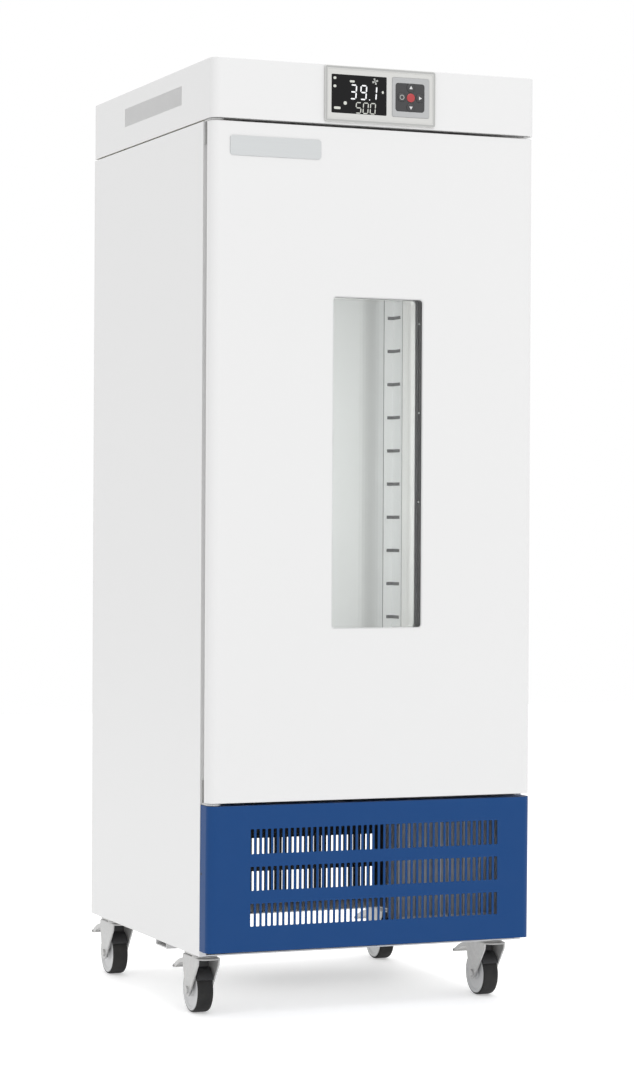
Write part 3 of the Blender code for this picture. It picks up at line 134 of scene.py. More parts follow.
def studio_floor():
    """A wide pale floor."""
    bm = bmesh.new()
    bmesh.ops.create_grid(bm, x_segments=8, y_segments=8, size=FLOOR_SIZE / 2)
    mesh = bpy.data.meshes.new("studio_floor")
    bm.to_mesh(mesh)
    bm.free()
    floor = bpy.data.objects.new("studio_floor", mesh)
    bpy.context.scene.collection.objects.link(floor)
    return floor


def soft_lamp(name, place, target, size, power):
    """A soft rectangular lamp at a place, aimed at a target."""
    data = bpy.data.lights.new(name, "AREA")
    data.shape = "RECTANGLE"
    data.size, data.size_y = size
    data.energy = power
    lamp = bpy.data.objects.new(name, data)
    lamp.location = place
    aim = Vector(target) - Vector(place)
    lamp.rotation_mode = "QUATERNION"
    lamp.rotation_quaternion = aim.to_track_quat("-Z", "Y")
    bpy.context.scene.collection.objects.link(lamp)


floor = studio_floor()
world = bpy.data.worlds.new("studio_world")
world.use_nodes = True
world.node_tree.nodes["Background"].inputs["Color"].default_value = WHITE
world.node_tree.nodes["Background"].inputs["Strength"].default_value = WORLD_LIGHT
bpy.context.scene.world = world
for lamp_values in LAMPS:
    soft_lamp(*lamp_values)

# %% [markdown]
# ## Effects that several finishes share
#
# Powder coat, moulded plastic and rubber all have a fine grain that breaks up the light. One could paste
# the same nodes into each material, but a change would then have to be made many times. A node group holds
# the effect once, with named inputs, and each material places it with values of its own. The small helpers
# below write such groups in a few lines.

# %% Small helpers for node trees
def node(tree, kind, inputs=None, **settings):
    """Add a node, with its settings and its input values or links."""
    made = tree.nodes.new(kind)
    for key, value in settings.items():
        setattr(made, key, value)
    for key, value in (inputs or {}).items():
        if isinstance(value, bpy.types.NodeSocket):
            tree.links.new(value, made.inputs[key])
        else:
            made.inputs[key].default_value = value
    return made


def group_tree(name, inputs, outputs):
    """A new shader node group with named sockets, and its two end nodes."""
    tree = bpy.data.node_groups.new(name, "ShaderNodeTree")
    for label, kind, value in inputs:
        made = tree.interface.new_socket(label, in_out="INPUT", socket_type=kind)
        made.default_value = value
    for label, kind in outputs:
        tree.interface.new_socket(label, in_out="OUTPUT", socket_type=kind)
    return tree, tree.nodes.new("NodeGroupInput"), tree.nodes.new("NodeGroupOutput")


NUMBER, COLOR, VECTOR = "NodeSocketFloat", "NodeSocketColor", "NodeSocketVector"
LOOK = [("Color", COLOR), ("Roughness", NUMBER), ("Normal", VECTOR)]


def between(tree, factor, low, high):
    """A number that runs from low to high as the factor runs from 0 to 1."""
    return node(tree, "ShaderNodeMapRange", {0: factor, 3: low, 4: high}).outputs[0]


def stretch(tree, value, start, stop):
    """0 up to the start, 1 from the stop on, and even in between."""
    return node(tree, "ShaderNodeMapRange", {0: value, 1: start, 2: stop}).outputs[0]


def worked(tree, operation, one, two, **settings):
    """Two numbers put together by the named operation."""
    return node(tree, "ShaderNodeMath", {0: one, 1: two}, operation=operation, **settings).outputs[0]


def noise(tree, place, scale, detail):
    """A noise at the given coordinates."""
    return node(tree, "ShaderNodeTexNoise", {"Vector": place, "Scale": scale, "Detail": detail})


def shaded(tree, factor, color, spread):
    """The colour, made darker by up to the spread where the factor is low."""
    level = between(tree, factor, worked(tree, "SUBTRACT", 1.0, spread), 1.0)
    return node(tree, "ShaderNodeVectorMath", {0: color, "Scale": level}, operation="SCALE").outputs[0]


def end_look(tree, start, end, shade, gloss, height, distance):
    """Close a group: its colour by the shade, its roughness by the gloss, its bumps by the height."""
    color = shaded(tree, shade, start.outputs["Color"], start.outputs["Spread"])
    rough = between(tree, gloss, start.outputs["Rough Low"], start.outputs["Rough High"])
    bump = node(tree, "ShaderNodeBump", {"Height": height, "Distance": distance})
    tree.links.new(color, end.inputs["Color"])
    tree.links.new(rough, end.inputs["Roughness"])
    tree.links.new(bump.outputs[0], end.inputs["Normal"])
    return tree


# %% [markdown]
# ## Fine grain
#
# Powder coat has a skin like very fine orange peel, with bumps of about a millimetre, and its shade drifts a
# little from place to place. A picture of the paint would need unwrapping. Two noises in the object's own
# coordinates do it without: a wide one for the drift and a fine one for the skin.

# %% The fine grain group
GRAIN_INPUTS = [
    ("Color", COLOR, (0.8, 0.8, 0.8, 1.0)),
    ("Spread", NUMBER, 0.05),
    ("Patch Scale", NUMBER, 6.0),
    ("Grain Scale", NUMBER, 900.0),
    ("Grain Height", NUMBER, 0.00002),
    ("Rough Low", NUMBER, 0.3),
    ("Rough High", NUMBER, 0.4),
]


def fine_grain_group():
    """Drift of shade, skin of fine bumps, and a roughness that follows both."""
    tree, start, end = group_tree("fine_grain", GRAIN_INPUTS, LOOK)
    place = node(tree, "ShaderNodeTexCoord").outputs["Object"]
    wide = noise(tree, place, start.outputs["Patch Scale"], 3.0).outputs[0]
    fine = noise(tree, place, start.outputs["Grain Scale"], 2.0).outputs[0]
    both = worked(tree, "MULTIPLY", wide, fine)
    return end_look(tree, start, end, wide, both, fine, start.outputs["Grain Height"])


FINE_GRAIN = fine_grain_group()
print("Group", FINE_GRAIN.name, "has", len(FINE_GRAIN.nodes), "nodes")

# %% [markdown]
# ## Drawn metal
#
# Stainless sheet and extruded aluminium carry fine lines along the way they were rolled or brushed. The
# same noise makes them, once its coordinates are squeezed across the lines and stretched along them. The
# group takes the squeeze as a vector, so one group serves upright posts and lying plates.

# %% The drawn lines group
LINES_INPUTS = [
    ("Color", COLOR, (0.7, 0.7, 0.7, 1.0)),
    ("Spread", NUMBER, 0.12),
    ("Squeeze", VECTOR, (1200.0, 1200.0, 12.0)),
    ("Line Height", NUMBER, 0.00001),
    ("Rough Low", NUMBER, 0.22),
    ("Rough High", NUMBER, 0.42),
]
CLOUD_SCALE = 14.0


def drawn_lines_group():
    """Long fine scratches in one direction."""
    tree, start, end = group_tree("drawn_lines", LINES_INPUTS, LOOK)
    place = node(tree, "ShaderNodeTexCoord").outputs["Object"]
    both = {0: place, 1: start.outputs["Squeeze"]}
    squeezed = node(tree, "ShaderNodeVectorMath", both, operation="MULTIPLY").outputs[0]
    lines = noise(tree, squeezed, 1.0, 4.0).outputs[0]
    cloud = noise(tree, place, CLOUD_SCALE, 2.0).outputs[0]
    mean = worked(tree, "MULTIPLY", worked(tree, "ADD", lines, cloud), 0.5)
    return end_look(tree, start, end, lines, mean, lines, start.outputs["Line Height"])


DRAWN_LINES = drawn_lines_group()
print("Group", DRAWN_LINES.name, "has", len(DRAWN_LINES.nodes), "nodes")

# %% [markdown]
# ## Zinc spangle
#
# The casters and the hinge plates are zinc plated. Plating dries in patches of slightly different grey. A
# plain noise looks like cloud, and a cell texture looks like crazy paving. The cells, bent by a noise, have
# the soft patches with edges that the real plating shows.

# %% The zinc spangle group
SPANGLE_INPUTS = [
    ("Color", COLOR, (0.6, 0.6, 0.6, 1.0)),
    ("Spread", NUMBER, 0.2),
    ("Size", NUMBER, 220.0),
    ("Rough Low", NUMBER, 0.3),
    ("Rough High", NUMBER, 0.5),
]
DRIFT_SCALE, DRIFT, SPANGLE_HEIGHT = 90.0, 0.006, 0.00001


def zinc_spangle_group():
    """Patches of plating, each with its own shade and gloss."""
    tree, start, end = group_tree("zinc_spangle", SPANGLE_INPUTS, LOOK)
    place = node(tree, "ShaderNodeTexCoord").outputs["Object"]
    drift = noise(tree, place, DRIFT_SCALE, 2.0)
    push = node(tree, "ShaderNodeVectorMath", {0: drift.outputs["Color"], "Scale": DRIFT}, operation="SCALE")
    bent = node(tree, "ShaderNodeVectorMath", {0: place, 1: push.outputs[0]}, operation="ADD")
    cells = node(tree, "ShaderNodeTexVoronoi", {"Vector": bent.outputs[0], "Scale": start.outputs["Size"]})
    shade = node(tree, "ShaderNodeSeparateColor", {0: cells.outputs["Color"]}).outputs[0]
    mixed = worked(tree, "MULTIPLY", shade, drift.outputs[0])
    return end_look(tree, start, end, mixed, mixed, mixed, SPANGLE_HEIGHT)


ZINC_SPANGLE = zinc_spangle_group()
print("Group", ZINC_SPANGLE.name, "has", len(ZINC_SPANGLE.nodes), "nodes")

# %% [markdown]
# ## Dust
#
# Dust lies on faces that look up, thicker in some places than in others, and wheels wear a thin film of it
# all round. Both come from one mask that lets a second colour through: the face's own slope and the film,
# times a noise. So the same group dusts a top, a ledge or a wheel, and nothing is painted by hand.

# %% The dust group
DUST_INPUTS = [
    ("Color", COLOR, (0.5, 0.5, 0.5, 1.0)),
    ("Roughness", NUMBER, 0.4),
    ("Dust Color", COLOR, (0.42, 0.39, 0.35, 1.0)),
    ("On Top", NUMBER, 0.3),
    ("All Round", NUMBER, 0.05),
    ("Scale", NUMBER, 25.0),
]
PATCH_EDGES, SLOPE_EDGES = (0.35, 0.7), (0.5, 1.0)
DUST_ROUGH = 0.9


def dust_group():
    """Dust on the faces that look up, and a thin uneven film all round."""
    tree, start, end = group_tree("dust_film", DUST_INPUTS, LOOK[:2])
    place = node(tree, "ShaderNodeTexCoord").outputs["Object"]
    cloud = noise(tree, place, start.outputs["Scale"], 5.0).outputs[0]
    patches = stretch(tree, cloud, *PATCH_EDGES)
    facing = node(tree, "ShaderNodeNewGeometry").outputs["Normal"]
    upward = node(tree, "ShaderNodeSeparateXYZ", {0: facing}).outputs[2]
    above = worked(tree, "MULTIPLY", stretch(tree, upward, *SLOPE_EDGES), start.outputs["On Top"])
    cover = worked(tree, "ADD", above, start.outputs["All Round"])
    mask = worked(tree, "MULTIPLY", cover, patches, use_clamp=True)
    mixed = node(tree, "ShaderNodeMix", data_type="RGBA")
    tree.links.new(mask, mixed.inputs[0])
    tree.links.new(start.outputs["Color"], mixed.inputs[6])
    tree.links.new(start.outputs["Dust Color"], mixed.inputs[7])
    rough = between(tree, mask, start.outputs["Roughness"], DUST_ROUGH)
    tree.links.new(mixed.outputs[2], end.inputs["Color"])
    tree.links.new(rough, end.inputs["Roughness"])
    return tree


DUST_FILM = dust_group()
print("Group", DUST_FILM.name, "has", len(DUST_FILM.nodes), "nodes")

# %% [markdown]
# ## Finishes
#
# A finish is one material: a Principled shader, fed by one of the groups above, and where dust can settle,
# by the dust group after it. Values that are the same all over, such as metal, coat or transmission, are
# set on the shader itself. Each finish is made once, under the name that a workshop would give it, and
# knows which slot of the record it belongs to.

# %% A helper that puts a finish together
FINISHES = {}


def finish(name, slot, effect, values, dust=None, shader=None):
    """A material from an effect group, its values, a dust film and plain shader settings."""
    material = bpy.data.materials.new(name)
    material.use_nodes = True
    tree = material.node_tree
    principled = tree.nodes["Principled BSDF"]
    grain = node(tree, "ShaderNodeGroup", node_tree=effect)
    for key, value in values.items():
        grain.inputs[key].default_value = (*value, 1.0) if key == "Color" else value
    color, rough = grain.outputs["Color"], grain.outputs["Roughness"]
    if dust is not None:
        film = node(tree, "ShaderNodeGroup", node_tree=DUST_FILM)
        film.inputs["On Top"].default_value, film.inputs["All Round"].default_value = dust
        tree.links.new(color, film.inputs["Color"])
        tree.links.new(rough, film.inputs["Roughness"])
        color, rough = film.outputs["Color"], film.outputs["Roughness"]
    tree.links.new(color, principled.inputs["Base Color"])
    tree.links.new(rough, principled.inputs["Roughness"])
    tree.links.new(grain.outputs["Normal"], principled.inputs["Normal"])
    for key, value in (shader or {}).items():
        principled.inputs[key].default_value = value
    material.diffuse_color = (*values["Color"], 1.0)
    FINISHES[name] = (material, slot)
    return material


# %% [markdown]
# ## Painted sheet
#
# The cabinet's white is a smooth semi-gloss powder coat, and the plinth's blue is the same coat in a deep
# cool blue. Both show soft highlights with a slightly uneven edge. The coat's own clear layer is not
# needed: powder is one layer, so the roughness alone sets the gloss. The white inside the chamber is the
# same paint, made paler as painted light, so that the chamber behind the glass reads bright, and a little
# warmer, which offsets the faint green of the glass before it.

# %% White, blue and black paint
SMOOTH_COAT = {"Spread": 0.025, "Patch Scale": 2.2, "Grain Scale": 1100.0, "Grain Height": 0.00003}
finish("white_powder_coat", "white_paint", FINE_GRAIN,
       {"Color": (0.66, 0.66, 0.66), "Rough Low": 0.34, "Rough High": 0.48, **SMOOTH_COAT},
       dust=(0.10, 0.0))
# The chamber's white is the cabinet's white made paler: painted light for the dim chamber.
finish("chamber_white", "white_paint", FINE_GRAIN,
       {"Color": (0.78, 0.775, 0.76), "Rough Low": 0.34, "Rough High": 0.5, **SMOOTH_COAT})
finish("plinth_blue", "blue_paint", FINE_GRAIN,
       {"Color": (0.0082, 0.050, 0.170), "Rough Low": 0.40, "Rough High": 0.54, **SMOOTH_COAT},
       dust=(0.12, 0.003), shader={"Specular IOR Level": 0.12})
finish("chassis_black", "black_paint", FINE_GRAIN,
       {"Color": (0.018, 0.018, 0.02), "Rough Low": 0.4, "Rough High": 0.6, **SMOOTH_COAT},
       dust=(0.5, 0.08))
print("Painted finishes:", ", ".join(FINISHES))

# %% [markdown]
# ## Plastic and rubber
#
# Moulded plastic takes the texture of its tool, a finer and deeper grain than paint. The screen is the
# exception: it is polished, so its grain is almost flat and its roughness low. Rubber is rougher, and a
# tyre that has rolled about is a little greyer, which the dust film gives.

# %% Plastics and rubbers
TOOL_GRAIN = {"Spread": 0.04, "Patch Scale": 14.0, "Grain Scale": 2600.0, "Grain Height": 0.00005}
POLISHED = {"Spread": 0.02, "Patch Scale": 8.0, "Grain Scale": 400.0, "Grain Height": 0.000001}
finish("bezel_grey", "light_grey_plastic", FINE_GRAIN,
       {"Color": (0.54, 0.54, 0.525), "Rough Low": 0.36, "Rough High": 0.5, **TOOL_GRAIN})
finish("rim_grey", "light_grey_plastic", FINE_GRAIN,
       {"Color": (0.37, 0.372, 0.365), "Rough Low": 0.36, "Rough High": 0.5, **TOOL_GRAIN})
finish("screen_black", "black_plastic", FINE_GRAIN,
       {"Color": (0.010, 0.010, 0.0105), "Rough Low": 0.08, "Rough High": 0.16, **POLISHED},
       shader={"Specular IOR Level": 0.12})
finish("moulded_black", "black_plastic", FINE_GRAIN,
       {"Color": (0.014, 0.014, 0.015), "Rough Low": 0.42, "Rough High": 0.58, **TOOL_GRAIN},
       shader={"Specular IOR Level": 0.3})
finish("pad_dark_grey", "black_plastic", FINE_GRAIN,
       {"Color": (0.034, 0.034, 0.036), "Rough Low": 0.4, "Rough High": 0.55, **TOOL_GRAIN})
finish("key_red", "red_plastic", FINE_GRAIN,
       {"Color": (0.38, 0.038, 0.042), "Rough Low": 0.3, "Rough High": 0.42, **TOOL_GRAIN})
finish("symbol_white", "silver_plastic", FINE_GRAIN,
       {"Color": (0.64, 0.64, 0.64), "Rough Low": 0.4, "Rough High": 0.5, **TOOL_GRAIN})
finish("tyre_rubber", "rubber", FINE_GRAIN,
       {"Color": (0.016, 0.016, 0.0165), "Spread": 0.3, "Patch Scale": 60.0, "Grain Scale": 1500.0,
        "Grain Height": 0.00008, "Rough Low": 0.55, "Rough High": 0.8},
       dust=(0.06, 0.04), shader={"Specular IOR Level": 0.25})
finish("hub_grey", "light_grey_plastic", FINE_GRAIN,
       {"Color": (0.52, 0.525, 0.53), "Rough Low": 0.35, "Rough High": 0.5, **TOOL_GRAIN},
       dust=(0.1, 0.03))
finish("seal_grey", "grey_rubber", FINE_GRAIN,
       {"Color": (0.33, 0.33, 0.335), "Spread": 0.12, "Patch Scale": 20.0, "Grain Scale": 1800.0,
        "Grain Height": 0.00004, "Rough Low": 0.5, "Rough High": 0.66})
finish("bead_grey", "grey_rubber", FINE_GRAIN,
       {"Color": (0.60, 0.60, 0.605), "Spread": 0.12, "Patch Scale": 20.0, "Grain Scale": 1800.0,
        "Grain Height": 0.00003, "Rough Low": 0.45, "Rough High": 0.6})
print("Finishes so far:", len(FINISHES))

# %% [markdown]
# ## Metals, foam and board
#
# The duct cover is painted sheet, a touch duller than the lining, and the posts are steel with lines that
# run upright. The shelves are drawn wire, and the badge's bare plate is satin. The casters are zinc plated.
# Foam is only seen at its cut edge, where it is a matt cream with pores, so its grain is coarse and high.

# %% Metals and the rest
UPRIGHT, LEVEL = (900.0, 900.0, 7.0), (7.0, 900.0, 900.0)
finish("duct_sheet", "white_paint", FINE_GRAIN,
       {"Color": (0.66, 0.665, 0.665), "Rough Low": 0.5, "Rough High": 0.65, **SMOOTH_COAT})
finish("post_steel", "steel", DRAWN_LINES,
       {"Color": (0.80, 0.805, 0.805), "Spread": 0.08, "Squeeze": UPRIGHT, "Rough Low": 0.42,
        "Rough High": 0.6},
       shader={"Metallic": 0.25})
finish("wire_steel", "steel", DRAWN_LINES,
       {"Color": (0.68, 0.68, 0.67), "Spread": 0.15, "Squeeze": LEVEL, "Rough Low": 0.2, "Rough High": 0.36},
       shader={"Metallic": 1.0})
finish("badge_satin", "silver_plastic", DRAWN_LINES,
       {"Color": (0.55, 0.565, 0.57), "Spread": 0.08, "Squeeze": LEVEL, "Rough Low": 0.34,
        "Rough High": 0.46},
       shader={"Metallic": 0.35})
finish("keypad_silver", "silver_plastic", DRAWN_LINES,
       {"Color": (0.43, 0.435, 0.44), "Spread": 0.08, "Squeeze": LEVEL, "Rough Low": 0.32,
        "Rough High": 0.45},
       shader={"Metallic": 0.4})
finish("zinc_plate", "steel", ZINC_SPANGLE,
       {"Color": (0.56, 0.56, 0.555), "Spread": 0.22, "Size": 240.0, "Rough Low": 0.35, "Rough High": 0.55},
       dust=(0.25, 0.05), shader={"Metallic": 0.3})
finish("fin_aluminium", "aluminium", DRAWN_LINES,
       {"Color": (0.62, 0.63, 0.65), "Spread": 0.2, "Squeeze": UPRIGHT, "Rough Low": 0.55, "Rough High": 0.7},
       shader={"Metallic": 0.1})
finish("heater_sheath", "steel", ZINC_SPANGLE,
       {"Color": (0.34, 0.31, 0.28), "Spread": 0.35, "Size": 160.0, "Rough Low": 0.35, "Rough High": 0.55},
       shader={"Metallic": 1.0})
finish("foam_cream", "foam", FINE_GRAIN,
       {"Color": (0.66, 0.60, 0.42), "Spread": 0.2, "Patch Scale": 30.0, "Grain Scale": 420.0,
        "Grain Height": 0.0006, "Rough Low": 0.85, "Rough High": 0.95})
finish("board_green", "board", FINE_GRAIN,
       {"Color": (0.02, 0.13, 0.055), "Spread": 0.25, "Patch Scale": 160.0, "Grain Scale": 900.0,
        "Grain Height": 0.00004, "Rough Low": 0.3, "Rough High": 0.5})
print("Finishes:", len(FINISHES))

# %% [markdown]
# ## Glass and light
#
# The window's panes are clear float glass with the faint green of its edge. Glass keeps plain values for
# metal and transmission, and only its roughness and normal vary, by so little that it shows as life in the
# reflections. The digits are lit, so their colour goes into the emission, a touch uneven like real segments.

# %% Window glass and lit segments
finish("float_glass", "glass", FINE_GRAIN,
       {"Color": (0.97, 0.985, 0.98), "Spread": 0.01, "Patch Scale": 3.0, "Grain Scale": 12.0,
        "Grain Height": 0.00002, "Rough Low": 0.0, "Rough High": 0.02},
       shader={"Transmission Weight": 1.0, "IOR": 1.45})
LIT_GRAIN = {"Grain Scale": 900.0, "Grain Height": 0.00001, "Rough Low": 0.3, "Rough High": 0.4}
lit_tree = finish("lit_segment", "silver_plastic", FINE_GRAIN,
                  {"Color": (0.74, 0.75, 0.76), "Spread": 0.16, "Patch Scale": 320.0, **LIT_GRAIN},
                  shader={"Emission Strength": 0.25}).node_tree
lit_shader = lit_tree.nodes["Principled BSDF"]
lit_color = lit_shader.inputs["Base Color"].links[0].from_socket
lit_tree.links.new(lit_color, lit_shader.inputs["Emission Color"])
print("Finishes with glass and light:", len(FINISHES))

# %% [markdown]
# ## How a pressed or moulded form is made
#
# Most pieces of a cabinet are a rounded rectangle that changes step by step: a flange, a bend, a wall, a
# return. One could start from a cube and bevel it, but the corner radius and the bends then fight each
# other. A loft keeps them apart: each station is a rounded rectangle at a height, and a skin of quads joins
# one to the next. With enough steps in a corner, the highlight runs round it without a facet.

# %% Lofted forms
def on_axis(axis, u, v, h):
    """A point from its place in the outline and its height along the axis."""
    return Vector({"x": (h, u, v), "y": (u, h, v), "z": (u, v, h)}[axis])


def finished_mesh(bm, name):
    """A mesh whose faces look outward."""
    bmesh.ops.recalc_face_normals(bm, faces=bm.faces)
    mesh = bpy.data.meshes.new(name)
    bm.to_mesh(mesh)
    bm.free()
    return mesh


def rounded_points(rect, steps):
    """The outline of a rectangle u0, u1, v0, v1, with one radius or one for each corner."""
    u0, u1, v0, v1 = rect[:4]
    radii = rect[4] if isinstance(rect[4], tuple) else (rect[4],) * 4
    corners = ((u0, v0, 1, 1, 180), (u1, v0, -1, 1, 270), (u1, v1, -1, -1, 0), (u0, v1, 1, -1, 90))
    points = []
    for (cu, cv, su, sv, start), radius in zip(corners, radii):
        for step in range(steps + 1):
            angle = math.radians(start + 90 * step / max(steps, 1))
            points.append((cu + radius * (su + math.cos(angle)), cv + radius * (sv + math.sin(angle))))
    return points


def skin(bm, loops, closed=False):
    """Quads from each loop to the next, with end caps or joined into a ring."""
    rings = loops + loops[:1] if closed else loops
    for one, two in zip(rings, rings[1:]):
        for i in range(len(one)):
            j = (i + 1) % len(one)
            bm.faces.new((one[i], one[j], two[j], two[i]))
    if not closed:
        bm.faces.new(loops[0])
        bm.faces.new(tuple(reversed(loops[-1])))


def formed(name, axis, stations, closed=False, steps=6):
    """Rounded rectangles (rect, h) lofted along an axis."""
    bm = bmesh.new()
    loops = []
    for rect, h in stations:
        loops.append([bm.verts.new(on_axis(axis, u, v, h)) for u, v in rounded_points(rect, steps)])
    skin(bm, loops, closed)
    return finished_mesh(bm, name)


def inset(rect, by, radius=None):
    """The same rectangle moved in on every side; its radius shrinks with it unless one is given."""
    u0, u1, v0, v1, old = rect
    if radius is None:
        radius = tuple(max(r - by, 0.0002) for r in old) if isinstance(old, tuple) else max(old - by, 0.0002)
    return (u0 + by, u1 - by, v0 + by, v1 - by, radius)


def eased(rect, h, radius, way, steps=4):
    """Stations that round an outer edge over: from the wall in to the face, at height h along the way."""
    made = []
    for step in range(steps + 1):
        angle = math.radians(90 * step / steps)
        made.append((inset(rect, radius * (1 - math.cos(angle))), h - way * radius * (1 - math.sin(angle))))
    return made


# %% [markdown]
# ## Turned, bent and cut forms
#
# Wheels, screws and keys are turned: a profile spun round an axis. Folded strips follow a line at a
# constant thickness. Slots are cut with the Boolean modifier, all the slots of a sheet in one cutter,
# because one cut with a hundred boxes is far quicker and cleaner than a hundred cuts.

# %% Turned, extruded and cut
def extruded(name, axis, outline, low, high):
    """A straight extrusion of an outline."""
    bm = bmesh.new()
    skin(bm, [[bm.verts.new(on_axis(axis, u, v, h)) for u, v in outline] for h in (low, high)])
    return finished_mesh(bm, name)


def turned(name, axis, centre, profile, sides=48, ring=False):
    """Radius and height pairs spun round an axis through the centre."""
    bm = bmesh.new()
    loops = []
    turns = [math.tau * i / sides for i in range(sides)]
    for radius, h in profile:
        points = [(centre[0] + radius * math.cos(a), centre[1] + radius * math.sin(a)) for a in turns]
        loops.append([bm.verts.new(on_axis(axis, u, v, h)) for u, v in points])
    skin(bm, loops, ring)
    return finished_mesh(bm, name)


def merged(name, meshes):
    """Several meshes in one."""
    bm = bmesh.new()
    for mesh in meshes:
        bm.from_mesh(mesh)
    return finished_mesh(bm, name)


def cut(base, operation, *tools):
    """Cut the tools out of the base, or join them to it with UNION."""
    host = bpy.data.objects.new("cut_host", base)
    helpers = [bpy.data.objects.new("cut_tool", tool) for tool in tools]
    for item in [host] + helpers:
        bpy.context.scene.collection.objects.link(item)
    for helper in helpers:
        modifier = host.modifiers.new("cut", "BOOLEAN")
        modifier.operation, modifier.object = operation, helper
    graph = bpy.context.evaluated_depsgraph_get()
    result = bpy.data.meshes.new_from_object(host.evaluated_get(graph))
    for item in [host] + helpers:
        bpy.data.objects.remove(item, do_unlink=True)
    return result


def slots(axis, first, count, pitch, width, rows, depth, radius=0.0):
    """One cutter for rows of upright slots, with rounded corners where a radius is given."""
    cutters = []
    for low, high in rows:
        for i in range(count):
            left, right = first + i * pitch, first + i * pitch + width
            points = [(left, low), (right, low), (right, high), (left, high)]
            if radius:
                points = rounded_points((left, right, low, high, radius), 2)
            cutters.append(extruded("slot", axis, points, *depth))
    return merged("slots", cutters)


def arc(cu, cv, radius, start, end, steps):
    """Points on an arc, with its angles in degrees."""
    angles = [math.radians(start + (end - start) * i / steps) for i in range(steps + 1)]
    return [(cu + radius * math.cos(a), cv + radius * math.sin(a)) for a in angles]


def strip(points, thick):
    """A bent strip's outline: the line, and the same line moved to its left by the thickness."""
    moved = []
    for i, (u, v) in enumerate(points):
        before = Vector(points[i]) - Vector(points[i - 1]) if i else None
        after = Vector(points[i + 1]) - Vector(points[i]) if i + 1 < len(points) else None
        one, two = (before or after).normalized(), (after or before).normalized()
        mitre = (one + two).normalized()
        reach = thick / mitre.dot(one)
        moved.append((u - mitre.y * reach, v + mitre.x * reach))
    return list(points) + moved[::-1]


# %% [markdown]
# ## Putting a piece in its place
#
# Every piece does the same four things: it moves from cabinet measures into the frame, takes its finish,
# rides on a CAD body, and stands for the CAD nodes that it replaces. One helper does them all, so that none
# is forgotten. It also lets large flat faces rule the normals beside them: without that, the shading of a
# rolled edge runs out across the door like a crease.

# %% Place a piece
def dress(name, mesh, finish_name, body, stands_for=(), sharp=35.0):
    """Place a finished mesh in the frame, shaded smooth except over sharp edges."""
    mesh.name = name
    mesh.transform(Matrix.Translation(CORNER))
    mesh.materials.clear()
    material, slot = FINISHES[finish_name]
    mesh.materials.append(material)
    mesh.shade_smooth()
    mesh.set_sharp_from_angle(angle=math.radians(sharp))
    item = bpy.data.objects.new(name, mesh)
    bpy.context.scene.collection.objects.link(item)
    even = item.modifiers.new("even_normals", "WEIGHTED_NORMAL")
    even.keep_sharp = True
    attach(item, body)
    if stands_for:
        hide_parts(*stands_for)
    return item


def faces(item):
    """A line on what a piece is made of."""
    low = [min(v.co[i] for v in item.data.vertices) for i in range(3)]
    high = [max(v.co[i] for v in item.data.vertices) for i in range(3)]
    size = " x ".join("%.1f" % ((b - a) * 1000) for a, b in zip(low, high))
    print("%s: %d faces, %s mm" % (item.name, len(item.data.polygons), size))


paint_floor = finish("studio_paper", "white_paint", FINE_GRAIN,
                     {"Color": (0.80, 0.80, 0.80), "Spread": 0.02, "Patch Scale": 0.4, "Grain Scale": 300.0,
                      "Grain Height": 0.00002, "Rough Low": 0.6, "Rough High": 0.7},
                     shader={"Emission Color": WHITE, "Emission Strength": 0.38})
floor.data.materials.append(paint_floor)

# %% [markdown]
# ## The door's outer sheet
#
# The door is one folded sheet. Its upright edges are rolled to the cabinet's corner radius, its top and
# bottom edges are tight bends, and the window's opening is hemmed inward. A bevelled slab would give every
# edge the same radius, which is what makes a model look like a toy. The loft takes the two radii apart: each
# station goes in a little less at the sides than the last one, while the ends are already straight.

# %% The rolled front sheet
SHEET = 0.0012
SEAT = 0.0003
CORNER_R = 0.015
TIGHT_R = 0.0012
DOOR_RECT = (0.0, WIDTH, DOOR[0].z, DOOR[1].z)
LOFT_R = 0.001
WINDOW_X = (0.2134, 0.3758)
WINDOW_Z = (0.6367, 1.182)
WINDOW_R = 0.006
WINDOW = (*WINDOW_X, *WINDOW_Z, WINDOW_R)
HEM_EASE = ((0.0002, 0.0002), (0.0006, 0.0))
PIN_AT, PIN_HOLE_R = (0.016, 0.014), 0.0046


def rolled_front(rect, depth, steps=9):
    """Outer and inner stations of a sheet with rolled upright edges and tightly bent ends."""
    outer, inner = [], []
    for step in range(steps + 1):
        angle = math.radians(90 * step / steps)
        side = CORNER_R * (1 - math.sin(angle))
        end = TIGHT_R * (1 - math.sin(min(3 * angle, math.pi / 2)))
        edge = (rect[0] + side, rect[1] - side, rect[2] + end, rect[3] - end, LOFT_R)
        outer.append((edge, CORNER_R * (1 - math.cos(angle))))
        reach = CORNER_R - (CORNER_R - SHEET) * math.sin(angle)
        edge = (rect[0] + reach, rect[1] - reach, rect[2] + SHEET, rect[3] - SHEET, LOFT_R)
        inner.append((edge, CORNER_R - (CORNER_R - SHEET) * math.cos(angle)))
    outer.append(((*rect, LOFT_R), depth))
    inner.append((inset((*rect, LOFT_R), SHEET, LOFT_R), depth))
    return outer, inner[::-1]


outer, inner = rolled_front(DOOR_RECT, DOOR[1].y)
hem = [(WINDOW, SHEET), (WINDOW, 0.0005)]
hem += [(inset(WINDOW, -by, WINDOW_R + by), y) for by, y in HEM_EASE]
door_sheet = formed("door_outer_sheet", "y", hem + outer + inner, closed=True, steps=6)
holes = [turned("hole", "z", PIN_AT, [(PIN_HOLE_R, z - 0.002), (PIN_HOLE_R, z + 0.002)], 24)
         for z in DOOR_RECT[2:]]
door_sheet = cut(door_sheet, "DIFFERENCE", *holes)
faces(dress("door_outer_sheet", door_sheet, "white_powder_coat", "door", ("door_skin",)))

